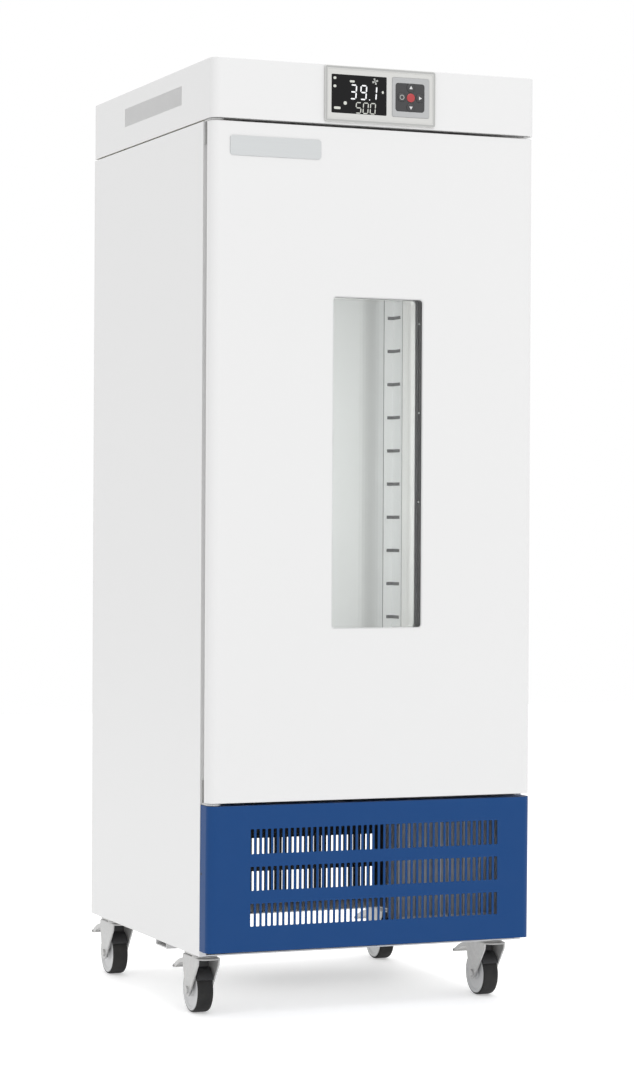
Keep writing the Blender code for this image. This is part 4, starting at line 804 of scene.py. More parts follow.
# %% [markdown]
# ## The window's edge
#
# Round the glass the photograph has a thin grey line: the bead that seals the pane to the sheet. Behind the
# pane stands the black spacer of the double glazing, with three pale sight dots up each side. The bead could
# be a texture on the glass, but as a real lip it also catches the light from the side.

# %% Sealing bead, spacer and sight dots
LAP = 0.009
PANE = (WINDOW[0] - LAP, WINDOW[1] + LAP, WINDOW[2] - LAP, WINDOW[3] + LAP, 0.015)
BEAD_FRONT, BEAD_BACK = 0.00125, 0.00145
GROOVE, GROOVE_R = 0.0012, 0.007
bead_out, bead_in = inset(WINDOW, -0.0015, 0.007), inset(WINDOW, 0.0016, 0.005)
bead = [(bead_out, BEAD_FRONT), (bead_in, BEAD_FRONT), (bead_in, BEAD_BACK), (bead_out, BEAD_BACK)]
faces(dress("window_bead", formed("window_bead", "y", bead, closed=True), "bead_grey", "door"))
spacer_low, spacer_high = span("window_spacer")
SPACER_Y = (spacer_low.y, spacer_high.y)
MID_Y = sum(SPACER_Y) / 2
groove = inset(WINDOW, -GROOVE, GROOVE_R)
stations = [(PANE, SPACER_Y[0]), (PANE, SPACER_Y[1]), (WINDOW, SPACER_Y[1]), (WINDOW, MID_Y + 0.004),
            (groove, MID_Y + 0.003), (groove, MID_Y - 0.003), (WINDOW, MID_Y - 0.004), (WINDOW, SPACER_Y[0])]
spacer = formed("window_spacer_bar", "y", stations, closed=True)
faces(dress("window_spacer_bar", spacer, "moulded_black", "door", ("window_spacer",)))
DOT_Z, DOT_R = (0.846, 0.994, 1.142), 0.0016
dots = []
for x, way in ((WINDOW_X[0], 1), (WINDOW_X[1], -1)):
    for z in DOT_Z:
        profile = [(DOT_R, x - way * 0.0011), (DOT_R, x + way * 0.0002), (DOT_R - 0.0005, x + way * 0.0005)]
        dots.append(turned("dot", "x", (MID_Y, z), profile, 16))
faces(dress("spacer_sight_dots", merged("dots", dots), "symbol_white", "door"))

# %% [markdown]
# ## The bare badge plate
#
# High on the left the door carries a small pale plate with round corners. It stays bare. Its face stands
# 1.5 mm proud with an eased edge, and that edge is what shows it against the white door.

# %% Badge plate
BADGE, BADGE_PROUD, BADGE_EASE = (0.0319, 0.1908, 1.404, 1.436, 0.005), 0.0015, 0.0006
stations = [(BADGE, -SEAT)] + eased(BADGE, -BADGE_PROUD, BADGE_EASE, -1)
badge = formed("badge", "y", stations, steps=8)
faces(dress("bare_badge_plate", badge, "badge_satin", "door", ("badge_plate",)))

# %% [markdown]
# ## The seal
#
# A magnetic door seal is a soft extrusion: a flat bead that holds the magnet and meets the cabinet, and a
# bellows behind it that lets it give. A square strip would fill the same gap, but when the door stands open
# the folds are what one sees. The loft's stations follow the extrusion's section all the way round.

# %% Bellows seal
seal_low, seal_high = span("door_gasket")
SEAL_R = 0.012
SEAL = (seal_low.x, seal_high.x, seal_low.z, seal_high.z, SEAL_R)
FOLDS = (  # how far in from the seal's outer edge, and the share of its depth
    (0.001, 0.0), (0.001, 0.10), (0.0032, 0.2), (0.0008, 0.36), (0.0030, 0.52), (0.0006, 0.60),
    (0.0, 0.68), (0.0, 0.84), (0.0012, 0.95), (0.0030, 1.0), (0.0190, 1.0), (0.0208, 0.95),
    (0.0220, 0.84), (0.0220, 0.68), (0.0214, 0.60), (0.0190, 0.52), (0.0212, 0.36), (0.0188, 0.2),
    (0.0210, 0.10), (0.021, 0.0),
)
seal_deep = seal_high.y - seal_low.y
stations = [(inset(SEAL, by, SEAL_R), seal_low.y + seal_deep * share) for by, share in FOLDS]
seal = formed("bellows_seal", "y", stations, closed=True, steps=8)
faces(dress("bellows_seal", seal, "seal_grey", "door", ("door_gasket",)))

# %% [markdown]
# ## The control housing
#
# The housing is a shallow lid: rolled front corners, an eased top edge, and a band of fine upright vents in
# each side. The vents are finer than the eye can count in the photograph, so their number comes from the
# grey that they average to: about half of the band is open.

# %% Housing with fine vents
FACE_Y = 0.0387
HOUSING_LOW, HOUSING_HIGH = HOUSING
HOUSING_RECT = (0.0, WIDTH, HOUSING_LOW.y, DEPTH, (CORNER_R, CORNER_R, 0.003, 0.003))
TOP_Z, BOTTOM_Z, RING_Z = HOUSING_HIGH.z, 1.4635, HOUSING_LOW.z
RING_IN, LIP = 0.008, 0.012
ring = (RING_IN, WIDTH - RING_IN, FACE_Y + SEAT, DEPTH - RING_IN, 0.003)
lip = inset(ring, LIP)
wall = inset(HOUSING_RECT, SHEET)
VENT_Y, VENT_Z = (0.145, 0.4375), (1.501, 1.5325)
VENT_COUNT, VENT_W = 62, 0.0025
top_edge = list(reversed(eased(HOUSING_RECT, TOP_Z, 0.002, 1)))
stations = top_edge + [(HOUSING_RECT, BOTTOM_Z), (ring, BOTTOM_Z), (ring, RING_Z), (lip, RING_Z),
                       (lip, BOTTOM_Z + SHEET), (wall, BOTTOM_Z + SHEET), (wall, TOP_Z - SHEET)]
housing = formed("housing", "z", stations, steps=8)
pitch = (VENT_Y[1] - VENT_Y[0] - VENT_W) / (VENT_COUNT - 1)
vent_cutters = [slots("x", VENT_Y[0], VENT_COUNT, pitch, VENT_W, (VENT_Z,), side)
                for side in ((-0.002, SHEET + 0.002), (WIDTH - SHEET - 0.002, WIDTH + 0.002))]
KEYPAD_X, KEYPAD_Z = (0.3144, 0.3819), (1.4810, 1.5465)
KEY_MID = (sum(KEYPAD_X) / 2, sum(KEYPAD_Z) / 2)
KEY_SPREAD, KEY_R, STEM_R, KEY_PLAY = 0.0162, 0.0072, 0.003, 0.0004
KEYS = {"up_button": (0, 1), "down_button": (0, -1), "left_button": (-1, 0), "right_button": (1, 0),
        "centre_button": (0, 0)}


def key_centre(name):
    """A key's centre on the panel."""
    return KEY_MID[0] + KEYS[name][0] * KEY_SPREAD, KEY_MID[1] + KEYS[name][1] * KEY_SPREAD


def key_holes(radius, depth, sides):
    """One cutter for the five keys, with their play all round."""
    profile = [(radius + KEY_PLAY, y) for y in depth]
    return merged("holes", [turned("hole", "y", key_centre(name), profile, sides) for name in KEYS])


housing = cut(housing, "DIFFERENCE", *vent_cutters, key_holes(STEM_R, (-0.006, 0.001), 16))
faces(dress("control_housing", housing, "white_powder_coat", "cabinet", ("top_housing",)))
print("Vents:", VENT_COUNT, "each side, pitch %.2f mm" % (pitch * 1000))

# %% [markdown]
# ## The control panel's bezel
#
# A light grey frame stands a few millimetres proud of the housing. It has a rounded outer rim, a step down
# to the field, and two openings: one for the screen and one for the keypad. Its outer edge is rounded by
# about a millimetre, which draws the fine light line round it. The rim carries a darker band.

# %% Bezel
BEZEL = (0.1947, 0.3929, 1.467, 1.559, 0.004)
SCREEN = (0.2063, 0.3049, 1.4816, 1.5451, 0.0015)
KEYPAD = (*KEYPAD_X, *KEYPAD_Z, 0.003)
BACK_Y, FRONT_Y = span("control_bezel")[1].y, span("control_bezel")[0].y
STEP, RIM_W, RIM_R = 0.0012, 0.0045, 0.003
FIELD_Y = FRONT_Y + STEP
rim = inset(BEZEL, RIM_W, RIM_R)
stations = [(BEZEL, BACK_Y)] + eased(BEZEL, FRONT_Y, STEP, -1)
stations += [(rim, FRONT_Y), (inset(rim, 0.0003), FRONT_Y + 0.0001),
             (inset(rim, 0.0009), FIELD_Y - 0.0002), (inset(rim, 0.0012), FIELD_Y)]
openings = [formed("opening", "y", [(rect, BACK_Y + 0.001), (rect, FRONT_Y - 0.001)])
            for rect in (SCREEN, KEYPAD)]
bezel = cut(formed("bezel", "y", stations, steps=8), "DIFFERENCE", *openings)
faces(dress("panel_bezel", bezel, "bezel_grey", "cabinet", ("control_bezel",)))
BAND_IN, BAND_Y = (0.0008, 0.0040), (FRONT_Y + 0.0004, FRONT_Y - 0.00008)
band_out, band_in = (inset(BEZEL, by) for by in BAND_IN)
stations = [(band_out, BAND_Y[0]), (band_out, BAND_Y[1]), (band_in, BAND_Y[1]), (band_in, BAND_Y[0])]
band = formed("band", "y", stations, closed=True, steps=8)
faces(dress("panel_rim_band", band, "rim_grey", "cabinet"))

# %% [markdown]
# ## The screen and its digits
#
# The screen is a polished black pane. Its digits are seven-segment bars that lean a little, like the real
# ones: a large value with one decimal over a smaller one. A font would give the wrong shapes, so each bar
# is a small hexagon, and a table says which of the seven bars make which number.

# %% Screen pane
pane_rect = inset(SCREEN, SEAT)
GLASS_Y = FIELD_Y + 0.0004
LIT_Y = (GLASS_Y - 0.0002, GLASS_Y + 0.0003)
screen = formed("screen", "y", [(pane_rect, BACK_Y)] + eased(pane_rect, GLASS_Y, 0.0003, -1))
faces(dress("screen_pane", screen, "screen_black", "cabinet", ("display_screen",)))

# %% Seven-segment bars
SEGMENTS = {
    "a": ((0.08, 1.0), (0.92, 1.0)),
    "b": ((1.0, 0.96), (1.0, 0.54)),
    "c": ((1.0, 0.46), (1.0, 0.04)),
    "d": ((0.08, 0.0), (0.92, 0.0)),
    "e": ((0.0, 0.04), (0.0, 0.46)),
    "f": ((0.0, 0.54), (0.0, 0.96)),
    "g": ((0.08, 0.5), (0.92, 0.5)),
}
DIGITS = {"0": "abcdef", "1": "bc", "3": "abcdg", "5": "acdfg", "9": "abcdfg"}
LEAN, NOSE = 0.07, 0.2
SCREEN_SPAN = (SCREEN[1] - SCREEN[0], SCREEN[3] - SCREEN[2])


def on_screen(u, v):
    """A place on the screen from its shares across and down."""
    return SCREEN[0] + u * SCREEN_SPAN[0], SCREEN[3] - v * SCREEN_SPAN[1]


def bar(start, end, half):
    """A segment: a bar with pointed ends."""
    start, end = Vector(start), Vector(end)
    along = (end - start).normalized()
    across = Vector((-along.y, along.x)) * half
    nose = along * half
    points = [start - nose * NOSE, start + nose + across, end - nose + across,
              end + nose * NOSE, end - nose - across, start + nose - across]
    return extruded("bar", "y", [tuple(p) for p in points], *LIT_Y)


def number(text, centre, size, pitch, half):
    """A row of digits round a centre, each width by height, with its bars' half width."""
    made = []
    first = centre[0] - pitch * (len(text) - 1) / 2
    for i, digit in enumerate(text):
        for key in DIGITS[digit]:
            ends = []
            for su, sv in SEGMENTS[key]:
                v = (sv - 0.5) * size[1]
                ends.append((first + i * pitch + (su - 0.5) * size[0] + v * LEAN, centre[1] + v))
            made.append(bar(*ends, half))
    return made


def pill(u, v, width, height):
    """A small rounded mark on the screen."""
    x, z = on_screen(u, v)
    rect = (x - width / 2, x + width / 2, z - height / 2, z + height / 2, min(width, height) * 0.45)
    return formed("mark", "y", [(rect, LIT_Y[1]), (rect, LIT_Y[0])], steps=4)


finish("lit_warm", "silver_plastic", FINE_GRAIN,
       {"Color": (0.50, 0.51, 0.47), "Spread": 0.2, "Patch Scale": 400.0, **LIT_GRAIN},
       shader={"Emission Color": (0.9, 0.92, 0.85, 1.0), "Emission Strength": 0.12})
large = number("391", on_screen(0.58, 0.435), (0.0098, 0.0226), 0.0180, 0.00115)
small = number("500", on_screen(0.62, 0.838), (0.0086, 0.0172), 0.0128, 0.0008)
point = pill(0.69, 0.615, 0.0020, 0.0020)
MARKS = (  # shares across and down, width and height
    (0.062, 0.10, 0.0052, 0.0044), (0.062, 0.31, 0.0052, 0.0044), (0.375, 0.165, 0.0088, 0.0034),
    (0.25, 0.735, 0.0058, 0.0058), (0.106, 0.87, 0.0118, 0.0042), (0.93, 0.40, 0.0036, 0.0044),
)
faces(dress("lit_large_number", merged("digits", large + [point]), "lit_segment", "cabinet"))
faces(dress("lit_small_number", merged("digits", small), "lit_warm", "cabinet"))
faces(dress("lit_marks", merged("marks", [pill(*mark) for mark in MARKS]), "lit_warm", "cabinet"))

# %% [markdown]
# ## The fan mark
#
# At the top of the screen a small fan-shaped mark is lit more dimly than the digits. Four leaves round a
# middle, each a tapered bar, read as that mark from any distance.

# %% Fan mark
def leaf(centre, turn, reach):
    """One leaf of the mark, from the middle out."""
    points = [(0.12, -0.10), (0.85, -0.34), (1.0, 0.05), (0.80, 0.30), (0.12, 0.12)]
    cos, sin = math.cos(turn), math.sin(turn)
    outline = [(centre[0] + reach * (u * cos - v * sin), centre[1] + reach * (u * sin + v * cos))
               for u, v in points]
    return extruded("leaf", "y", outline, *LIT_Y)


finish("lit_dim", "silver_plastic", FINE_GRAIN,
       {"Color": (0.42, 0.43, 0.41), "Spread": 0.3, "Patch Scale": 500.0, **LIT_GRAIN},
       shader={"Emission Strength": 0.0})
LEAF_REACH = 0.0056
leaves = [leaf(on_screen(0.79, 0.13), math.radians(20 + 90 * i), LEAF_REACH) for i in range(4)]
faces(dress("lit_fan_mark", merged("leaves", leaves), "lit_dim", "cabinet"))

# %% [markdown]
# ## The keypad
#
# The keypad is a silver plate with a shallow dark well, and the five keys fill the well's colour so well
# that one sees little but their symbols and the red one in the middle. The plate and the well are two
# colours, so they are two pieces, one let into the other. Keys keep a gap of under half a millimetre.

# %% Plate, well and keys
seat = inset(KEYPAD, SEAT)
WELL = (0.3208, 0.3727, 1.4906, 1.5370, 0.0045)
PLATE_Y = FRONT_Y + 0.0004
stations = [(seat, BACK_Y)] + eased(seat, PLATE_Y, 0.0006, -1)
stations += [(inset(WELL, -0.0010), PLATE_Y), (inset(WELL, -0.0003), PLATE_Y + 0.0003),
             (WELL, PLATE_Y + 0.0005)]
around_well = inset(WELL, -SEAT)
well_cut = formed("well", "y", [(around_well, BACK_Y + 0.001), (around_well, PLATE_Y - 0.0005)], steps=6)
plate = cut(formed("plate", "y", stations, steps=6), "DIFFERENCE", well_cut)
faces(dress("keypad_silver_plate", plate, "keypad_silver", "cabinet", ("keypad_plate",)))
WELL_Y = PLATE_Y + 0.0003
well = formed("well", "y", [(WELL, BACK_Y), (WELL, WELL_Y + 0.0003), (inset(WELL, 0.0003), WELL_Y)], steps=6)
well = cut(well, "DIFFERENCE", key_holes(KEY_R, (BACK_Y + 0.001, -0.012), 40))
faces(dress("keypad_dark_well", well, "pad_dark_grey", "cabinet"))

# %% [markdown]
# ## Keys and their symbols
#
# Each key is turned: a cap with a slightly domed face and an eased rim, on a stem that reaches its switch.
# The symbols are raised prints: a triangle up, down and to the right, and an open ring on the left. They
# ride with their keys, so a pressed key takes its symbol along.

# %% Turned keys
CAP_BACK = -0.0044
RING_R, TRIANGLE_R, PRINT_DEEP = (0.0030, 0.0042), 0.0035, 0.0006
POINTS = {"up_button": 0, "down_button": 180, "right_button": -90}


def key_mesh(name):
    """A round cap with a low dome, on its stem."""
    low, high = span(name)
    front, back = low.y, high.y
    profile = [(0.0004, front), (KEY_R * 0.5, front + 0.00006), (KEY_R * 0.85, front + 0.0002),
               (KEY_R, front + 0.0006), (KEY_R, CAP_BACK), (STEM_R, CAP_BACK), (STEM_R, back)]
    return turned("key", "y", key_centre(name), profile, 40)


def triangle(centre, turn, size):
    """A triangle that points the way of its angle."""
    points = []
    for corner in (90, 210, 330):
        angle = math.radians(corner + turn)
        points.append((centre[0] + size * math.cos(angle), centre[1] + size * math.sin(angle)))
    return points


def symbol(name, front):
    """The print on a key."""
    centre = key_centre(name)
    depth = (front, front + PRINT_DEEP)
    if name == "left_button":
        inner_r, outer_r = RING_R
        ring = [(outer_r, depth[1]), (outer_r, depth[0]), (inner_r, depth[0]), (inner_r, depth[1])]
        return turned("ring", "y", centre, ring, 32, ring=True)
    return extruded("triangle", "y", triangle(centre, POINTS[name], TRIANGLE_R), *depth)


for name in KEYS:
    colour = "key_red" if name == "centre_button" else "pad_dark_grey"
    faces(dress(name.replace("button", "key"), key_mesh(name), colour, name + "_body", (name,)))
    if name != "centre_button":
        print_finish = "lit_dim" if name == "left_button" else "symbol_white"
        mark = symbol(name, span(name)[0].y)
        dress(name.replace("button", "symbol"), mark, print_finish, name + "_body")

# %% [markdown]
# ## The blue plinth
#
# The plinth is folded like the door, without a window, and has three rows of upright slots with softened
# corners. Through the slots one sees the bay, its rear sheet with slots of its own, and daylight. Where the
# two sets of slots meet, the light comes and goes in a slow beat, as in the photograph. That effect can't be
# painted: it is right only if both pitches are.

# %% Slotted plinth
PLINTH_RECT = (0.0, WIDTH, PLINTH[0].z, PLINTH[1].z)
SLOT_X, SLOT_COUNT, SLOT_PITCH, SLOT_W = 0.0737, 45, 0.00995, 0.006
SLOT_ROWS, SLOT_R = ((0.155, 0.192), (0.213, 0.252), (0.2725, 0.313)), 0.0012
SCREW_AT, SCREW_HOLE_R, SCREW_R = (0.033, 0.24), 0.0024, 0.0021
outer, inner = rolled_front(PLINTH_RECT, PLINTH[1].y)
plinth = formed("plinth", "y", outer + inner, steps=0)
screw_holes = [turned("hole", "x", SCREW_AT, [(SCREW_HOLE_R, low), (SCREW_HOLE_R, low + 0.005)], 20)
               for low in (-0.002, WIDTH - 0.003)]
plinth = cut(plinth, "DIFFERENCE", merged("holes", screw_holes))
plinth_slots = slots("y", SLOT_X, SLOT_COUNT, SLOT_PITCH, SLOT_W, SLOT_ROWS, (-0.002, SHEET + 0.002), SLOT_R)
plinth = cut(plinth, "DIFFERENCE", plinth_slots)
faces(dress("slotted_plinth", plinth, "plinth_blue", "cabinet", ("grille_panel",)))
print("Slots:", SLOT_COUNT * len(SLOT_ROWS))
flush = [turned("flush", "x", SCREW_AT, [(SCREW_R, low), (SCREW_R, low + SHEET)], 20)
         for low in (0.0003, WIDTH - 0.0015)]
faces(dress("plinth_flush_screws", merged("flush", flush), "moulded_black", "cabinet"))

# %% [markdown]
# ## Screws
#
# Sheet cabinets are held by pan-head screws. They are small, but a bare panel without them looks unreal
# close up. One turned head with a cross recess is made once and copied to each place on the rear sheet.

# %% Pan-head screws
HEAD_R, HEAD_H = 0.0036, 0.0013


def screw_head():
    """A pan head with a cross recess, standing on the plane z = 0 and looking up."""
    profile = [(0.0002, HEAD_H), (HEAD_R * 0.55, HEAD_H * 0.95), (HEAD_R * 0.85, HEAD_H * 0.72),
               (HEAD_R, HEAD_H * 0.3), (HEAD_R, -0.0002)]
    head = turned("head", "z", (0.0, 0.0), profile, 24)
    arm, deep = 0.00045, HEAD_H * 0.45
    cross = [extruded("arm", "z", [(-x, -y), (x, -y), (x, y), (-x, y)], deep, 0.003)
             for x, y in ((HEAD_R * 0.55, arm), (arm, HEAD_R * 0.55))]
    return cut(head, "DIFFERENCE", *cross)


HEAD = screw_head()
TO_REAR = Matrix.Rotation(math.radians(-90), 4, "X")
HEAD_TURN = 0.7
SCREW_IN, SCREW_Z = 0.012, (0.13, 0.36, 0.62, 0.90, 1.18, 1.44)


def screws(name, places):
    """Screw heads on the rear sheet, each turned a little differently, as one piece."""
    heads = []
    for i, (x, z) in enumerate(places):
        head = HEAD.copy()
        head.transform(Matrix.Translation((x, DEPTH, z)) @ TO_REAR @ Matrix.Rotation(i * HEAD_TURN, 4, "Z"))
        heads.append(head)
    return dress(name, merged(name, heads), "zinc_plate", "cabinet")


rear_places = [(x, z) for x in (SCREW_IN, WIDTH - SCREW_IN) for z in SCREW_Z]
rear_places += [(x, SCREW_Z[-1]) for x in (0.2, 0.38)]
faces(screws("rear_panel_screws", rear_places))

# %% [markdown]
# ## Casters
#
# A braked caster has a top plate with the fixed race, a pressed fork with its axle, a wheel and a pedal. All
# four casters are alike, so each piece is made once, about the kingpin at the origin, and copied to its
# corner. The wheel needs two colours, so its hub is a piece of its own that rides with the tyre, and so is
# the dark guard under the fork's crown.

# %% Measures of a caster
WHEEL_R, WHEEL_W, TRAIL = 0.0375, 0.029, 0.030
AXLE = (TRAIL, WHEEL_R)
KINGPIN = (0.0, 0.0)
CASTERS = {}
for end in ("front", "rear"):
    for side in ("left", "right"):
        low, high = span(end + "_" + side + "_caster_plate")
        CASTERS[end + "_" + side + "_caster"] = ((low.x + high.x) / 2, (low.y + high.y) / 2)
PLATE_LOW, PLATE_TOP = span("front_left_caster_plate")[0].z, span("front_left_caster_plate")[1].z
FORK_TOP = span("front_left_caster_fork")[1].z
CROWN_TOP = 0.0958
print("Casters at", {name: tuple(round(v * 1000) for v in at) for name, at in CASTERS.items()})


# %% Tyre and hub
TYRE_IN = 0.0346
SHOULDER = (0.0023, 0.0046)
SHOULDER_TURNS = [math.radians(angle) for angle in (0, 20, 40, 60, 75)]


def even_wheel(name, left, sides):
    """A ring round the axle from its left half: radius, and height in from the wheel's side."""
    left = [(r, h - WHEEL_W / 2) for r, h in left]
    return turned(name, "x", AXLE, left + [(r, -h) for r, h in reversed(left)], sides, ring=True)


def tyre_mesh():
    """A tyre with a softly crowned tread and rounded shoulders."""
    left = [(TYRE_IN, 0.0024), (TYRE_IN + 0.0004, 0.0010)]
    left += [(WHEEL_R - 0.0024 + SHOULDER[0] * math.sin(a), 0.0008 + SHOULDER[1] * (1 - math.cos(a)))
             for a in SHOULDER_TURNS]
    left += [(WHEEL_R - 0.0001, 0.0058), (WHEEL_R, 0.0085)]
    return even_wheel("tyre", left, 72)


def hub_mesh():
    """The hub: a dished disc with a rim ring and a raised boss round the axle."""
    left = [(0.0046, 0.0001), (0.0085, 0.0001), (0.0095, 0.0010), (0.0102, 0.0026), (0.0150, 0.0030),
            (0.0278, 0.0028), (0.0296, 0.0012), (0.0325, 0.0004), (0.0340, 0.0007), (0.0344, 0.0018)]
    return even_wheel("hub", left, 60)


# %% [markdown]
# ### The fork and its crown
#
# The fork is pressed from one sheet: a crown with a raised race, and two legs that taper to a round end at
# the axle. The crown's edge is eased, as the bend of the sheet makes it, and a head and a nut close the axle.

# %% Fork
FORK_W, FORK_SHEET, RACE_R = 0.039, 0.0025, 0.021
CROWN_Y, CROWN_R = (-0.031, 0.054), (0.013, 0.013, 0.005, 0.005)
LEG_END_R, LEG_BEND_Z, LEG_TOP = 0.011, 0.084, CROWN_TOP - 0.0018
AXLE_R, NUT_R, NUT_H, BORE_R = 0.004, 0.0064, 0.003, 0.0055


def fork_mesh():
    """The crown, the lower race, the two legs and the axle with its nut and head."""
    half, low = FORK_W / 2, CROWN_TOP - FORK_SHEET
    crown_rect = (-half, half, *CROWN_Y, CROWN_R)
    crown = formed("crown", "z", [(crown_rect, low)] + eased(crown_rect, CROWN_TOP, 0.0016, 1, 3), steps=6)
    profile = [(RACE_R, low + 0.001), (RACE_R, FORK_TOP - 0.0008), (RACE_R - 0.0008, FORK_TOP)]
    race = turned("race", "z", KINGPIN, profile, 48)
    leg = [(-0.021, LEG_TOP), (-0.019, LEG_BEND_Z)] + arc(*AXLE, LEG_END_R, 205, 345, 14)
    leg += [(0.053, LEG_BEND_Z), (0.052, LEG_TOP)]
    legs = [extruded("leg", "x", leg, *x) for x in ((-half, -half + FORK_SHEET), (half - FORK_SHEET, half))]
    head, neck = half + NUT_H, half - 0.001
    profile = [(NUT_R - 0.0002, -head), (NUT_R, -head + 0.0004), (NUT_R, -neck), (AXLE_R, -neck),
               (AXLE_R, neck), (NUT_R, neck), (NUT_R, head - 0.0004), (NUT_R - 0.0002, head)]
    axle = turned("axle", "x", AXLE, profile, 24)
    bore = turned("bore", "z", KINGPIN, [(BORE_R, low - 0.002), (BORE_R, CROWN_TOP + 0.01)], 24)
    return cut(cut(crown, "UNION", race, *legs, axle), "DIFFERENCE", bore)


# %% Top plate with kingpin
PLATE_HALF, PLATE_R, PLATE_SHEET = 0.027, 0.005, 0.003
KINGPIN_R, KINGPIN_HEAD_R = 0.005, 0.008


def plate_mesh():
    """The plate with rounded corners, the fixed race under it and the headed kingpin."""
    rect = (-PLATE_HALF, PLATE_HALF, -PLATE_HALF, PLATE_HALF, PLATE_R)
    low = PLATE_TOP - PLATE_SHEET
    plate = formed("plate", "z", [(rect, low)] + eased(rect, PLATE_TOP, 0.0006, 1, 2), steps=5)
    under, meet = CROWN_TOP - FORK_SHEET - SEAT, FORK_TOP + SEAT
    profile = [(RACE_R, low + 0.0005), (RACE_R, meet + 0.0004), (RACE_R - 0.0006, meet), (KINGPIN_R, meet),
               (KINGPIN_R, under), (KINGPIN_HEAD_R, under), (KINGPIN_HEAD_R, PLATE_LOW)]
    return cut(plate, "UNION", turned("race", "z", KINGPIN, profile, 40))


# %% [markdown]
# ### The brake pedal
#
# The pedal is a bent strip with turned-down edges, a rolled tip and a shoe under it. Its bends have a
# radius, so the line that it follows is smoothed before it gets its thickness: each corner of the line is
# cut off again and again until it is round.

# %% Pedal
def smoothed(points, cuts=2):
    """Cut a line's corners again and again until they are round; the ends stay."""
    for _ in range(cuts):
        rounder = [points[0]]
        for a, b in zip(points, points[1:]):
            rounder += [(a[0] * near + b[0] * far, a[1] * near + b[1] * far)
                        for near, far in ((0.75, 0.25), (0.25, 0.75))]
        points = rounder + [points[-1]]
    return points


PIVOT_Y, PIVOT_Z = 0.044, 0.084
PEDAL_TIP = span("rear_left_caster_brake")[1].y - CASTERS["rear_left_caster"][1]
STRAP_HALF, STRAP_SHEET, EDGE_DEEP, EDGE_SHEET = 0.013, 0.0022, 0.0068, 0.0015
SHOE_HALF, PIVOT_R, ROLL_R = 0.0091, 0.003, 0.0031
BEND_OUT, BEND_DOWN, TIP_DOWN = 0.052, 0.0055, 0.0195
TREAD_DROP, RIB_R, RIB_HALF = 0.014, 0.0007, 0.0105


def pedal_mesh():
    """The bent strip with turned-down edges and a rolled tip, its pivot pin and the shoe for the tyre."""
    line = [(PIVOT_Y - 0.008, PIVOT_Z - 0.001), (PIVOT_Y + 0.010, PIVOT_Z + 0.003),
            (PIVOT_Y + 0.031, PIVOT_Z + 0.0005), (PIVOT_Y + BEND_OUT, PIVOT_Z - BEND_DOWN),
            (PEDAL_TIP, PIVOT_Z - TIP_DOWN)]
    line = smoothed(line)
    strap = extruded("strap", "x", strip(line, -STRAP_SHEET), -STRAP_HALF, STRAP_HALF)
    reach = FORK_W / 2 - FORK_SHEET - SEAT
    pin = turned("pin", "x", (PIVOT_Y, PIVOT_Z), [(PIVOT_R, -reach), (PIVOT_R, reach)], 20)
    outline = [(PIVOT_Y + 0.002, PIVOT_Z + 0.001), (PIVOT_Y + 0.005, PIVOT_Z - 0.012),
               (PIVOT_Y + 0.009, PIVOT_Z - 0.012), (PIVOT_Y + 0.010, PIVOT_Z + 0.001)]
    shoe = extruded("shoe", "x", outline, -SHOE_HALF, SHOE_HALF)
    inner = STRAP_HALF - EDGE_SHEET
    edges = [extruded("edge", "x", strip(line[4:-3], -EDGE_DEEP), *x)
             for x in ((-STRAP_HALF, -inner), (inner, STRAP_HALF))]
    profile = [(ROLL_R - 0.0007, -STRAP_HALF), (ROLL_R, -STRAP_HALF + 0.0006), (ROLL_R, STRAP_HALF - 0.0006),
               (ROLL_R - 0.0007, STRAP_HALF)]
    roll = turned("roll", "x", (PEDAL_TIP - 0.0033, PIVOT_Z - 0.0192), profile, 20)
    return cut(strap, "UNION", pin, shoe, *edges, roll)


def tread_mesh():
    """Ribs across the pedal's tip, where the foot goes."""
    profile = [(RIB_R - 0.0005, -RIB_HALF), (RIB_R, -RIB_HALF + 0.0005), (RIB_R, RIB_HALF - 0.0005),
               (RIB_R - 0.0005, RIB_HALF)]
    ribs = []
    for share in (0.25, 0.4, 0.55, 0.7, 0.85):
        y = PIVOT_Y + BEND_OUT + (PEDAL_TIP - PIVOT_Y - BEND_OUT) * share
        z = PIVOT_Z - BEND_DOWN - TREAD_DROP * share + 0.0001
        ribs.append(turned("rib", "x", (y, z), profile, 10))
    return merged("ribs", ribs)


GUARD_GAP, GUARD_OUT, GUARD_HALF = 0.0012, 0.0034, 0.0142


def guard_mesh():
    """The block under the crown that hugs the tyre in front and keeps threads out."""
    low = CROWN_TOP - FORK_SHEET
    outline = arc(*AXLE, WHEEL_R + GUARD_GAP, 90, 150, 12) + arc(*AXLE, WHEEL_R + GUARD_OUT, 150, 108, 10)
    outline += [(0.0200, low), (0.0300, low)]
    return extruded("guard", "x", outline, -GUARD_HALF, GUARD_HALF)


# %% Copies at the four corners
PARTS = {
    "plate": (plate_mesh(), "zinc_plate", "cabinet", "_plate"),
    "fork": (fork_mesh(), "zinc_plate", "_fork_body", "_fork"),
    "guard": (guard_mesh(), "pad_dark_grey", "_fork_body", None),
    "tyre": (tyre_mesh(), "tyre_rubber", "_wheel_body", "_wheel"),
    "hub": (hub_mesh(), "hub_grey", "_wheel_body", None),
    "pedal": (pedal_mesh(), "zinc_plate", "_brake_body", "_brake"),
    "pedal_ribs": (tread_mesh(), "zinc_plate", "_brake_body", None),
}
for name, (x, y) in CASTERS.items():
    for part, (mesh, finish_name, body, stands_for) in PARTS.items():
        copy = mesh.copy()
        copy.transform(Matrix.Translation((x, y, 0.0)))
        rides = body if body == "cabinet" else name + body
        dress(name + "_" + part, copy, finish_name, rides, (name + stands_for,) if stands_for else ())
print("Caster pieces:", 4 * len(PARTS))

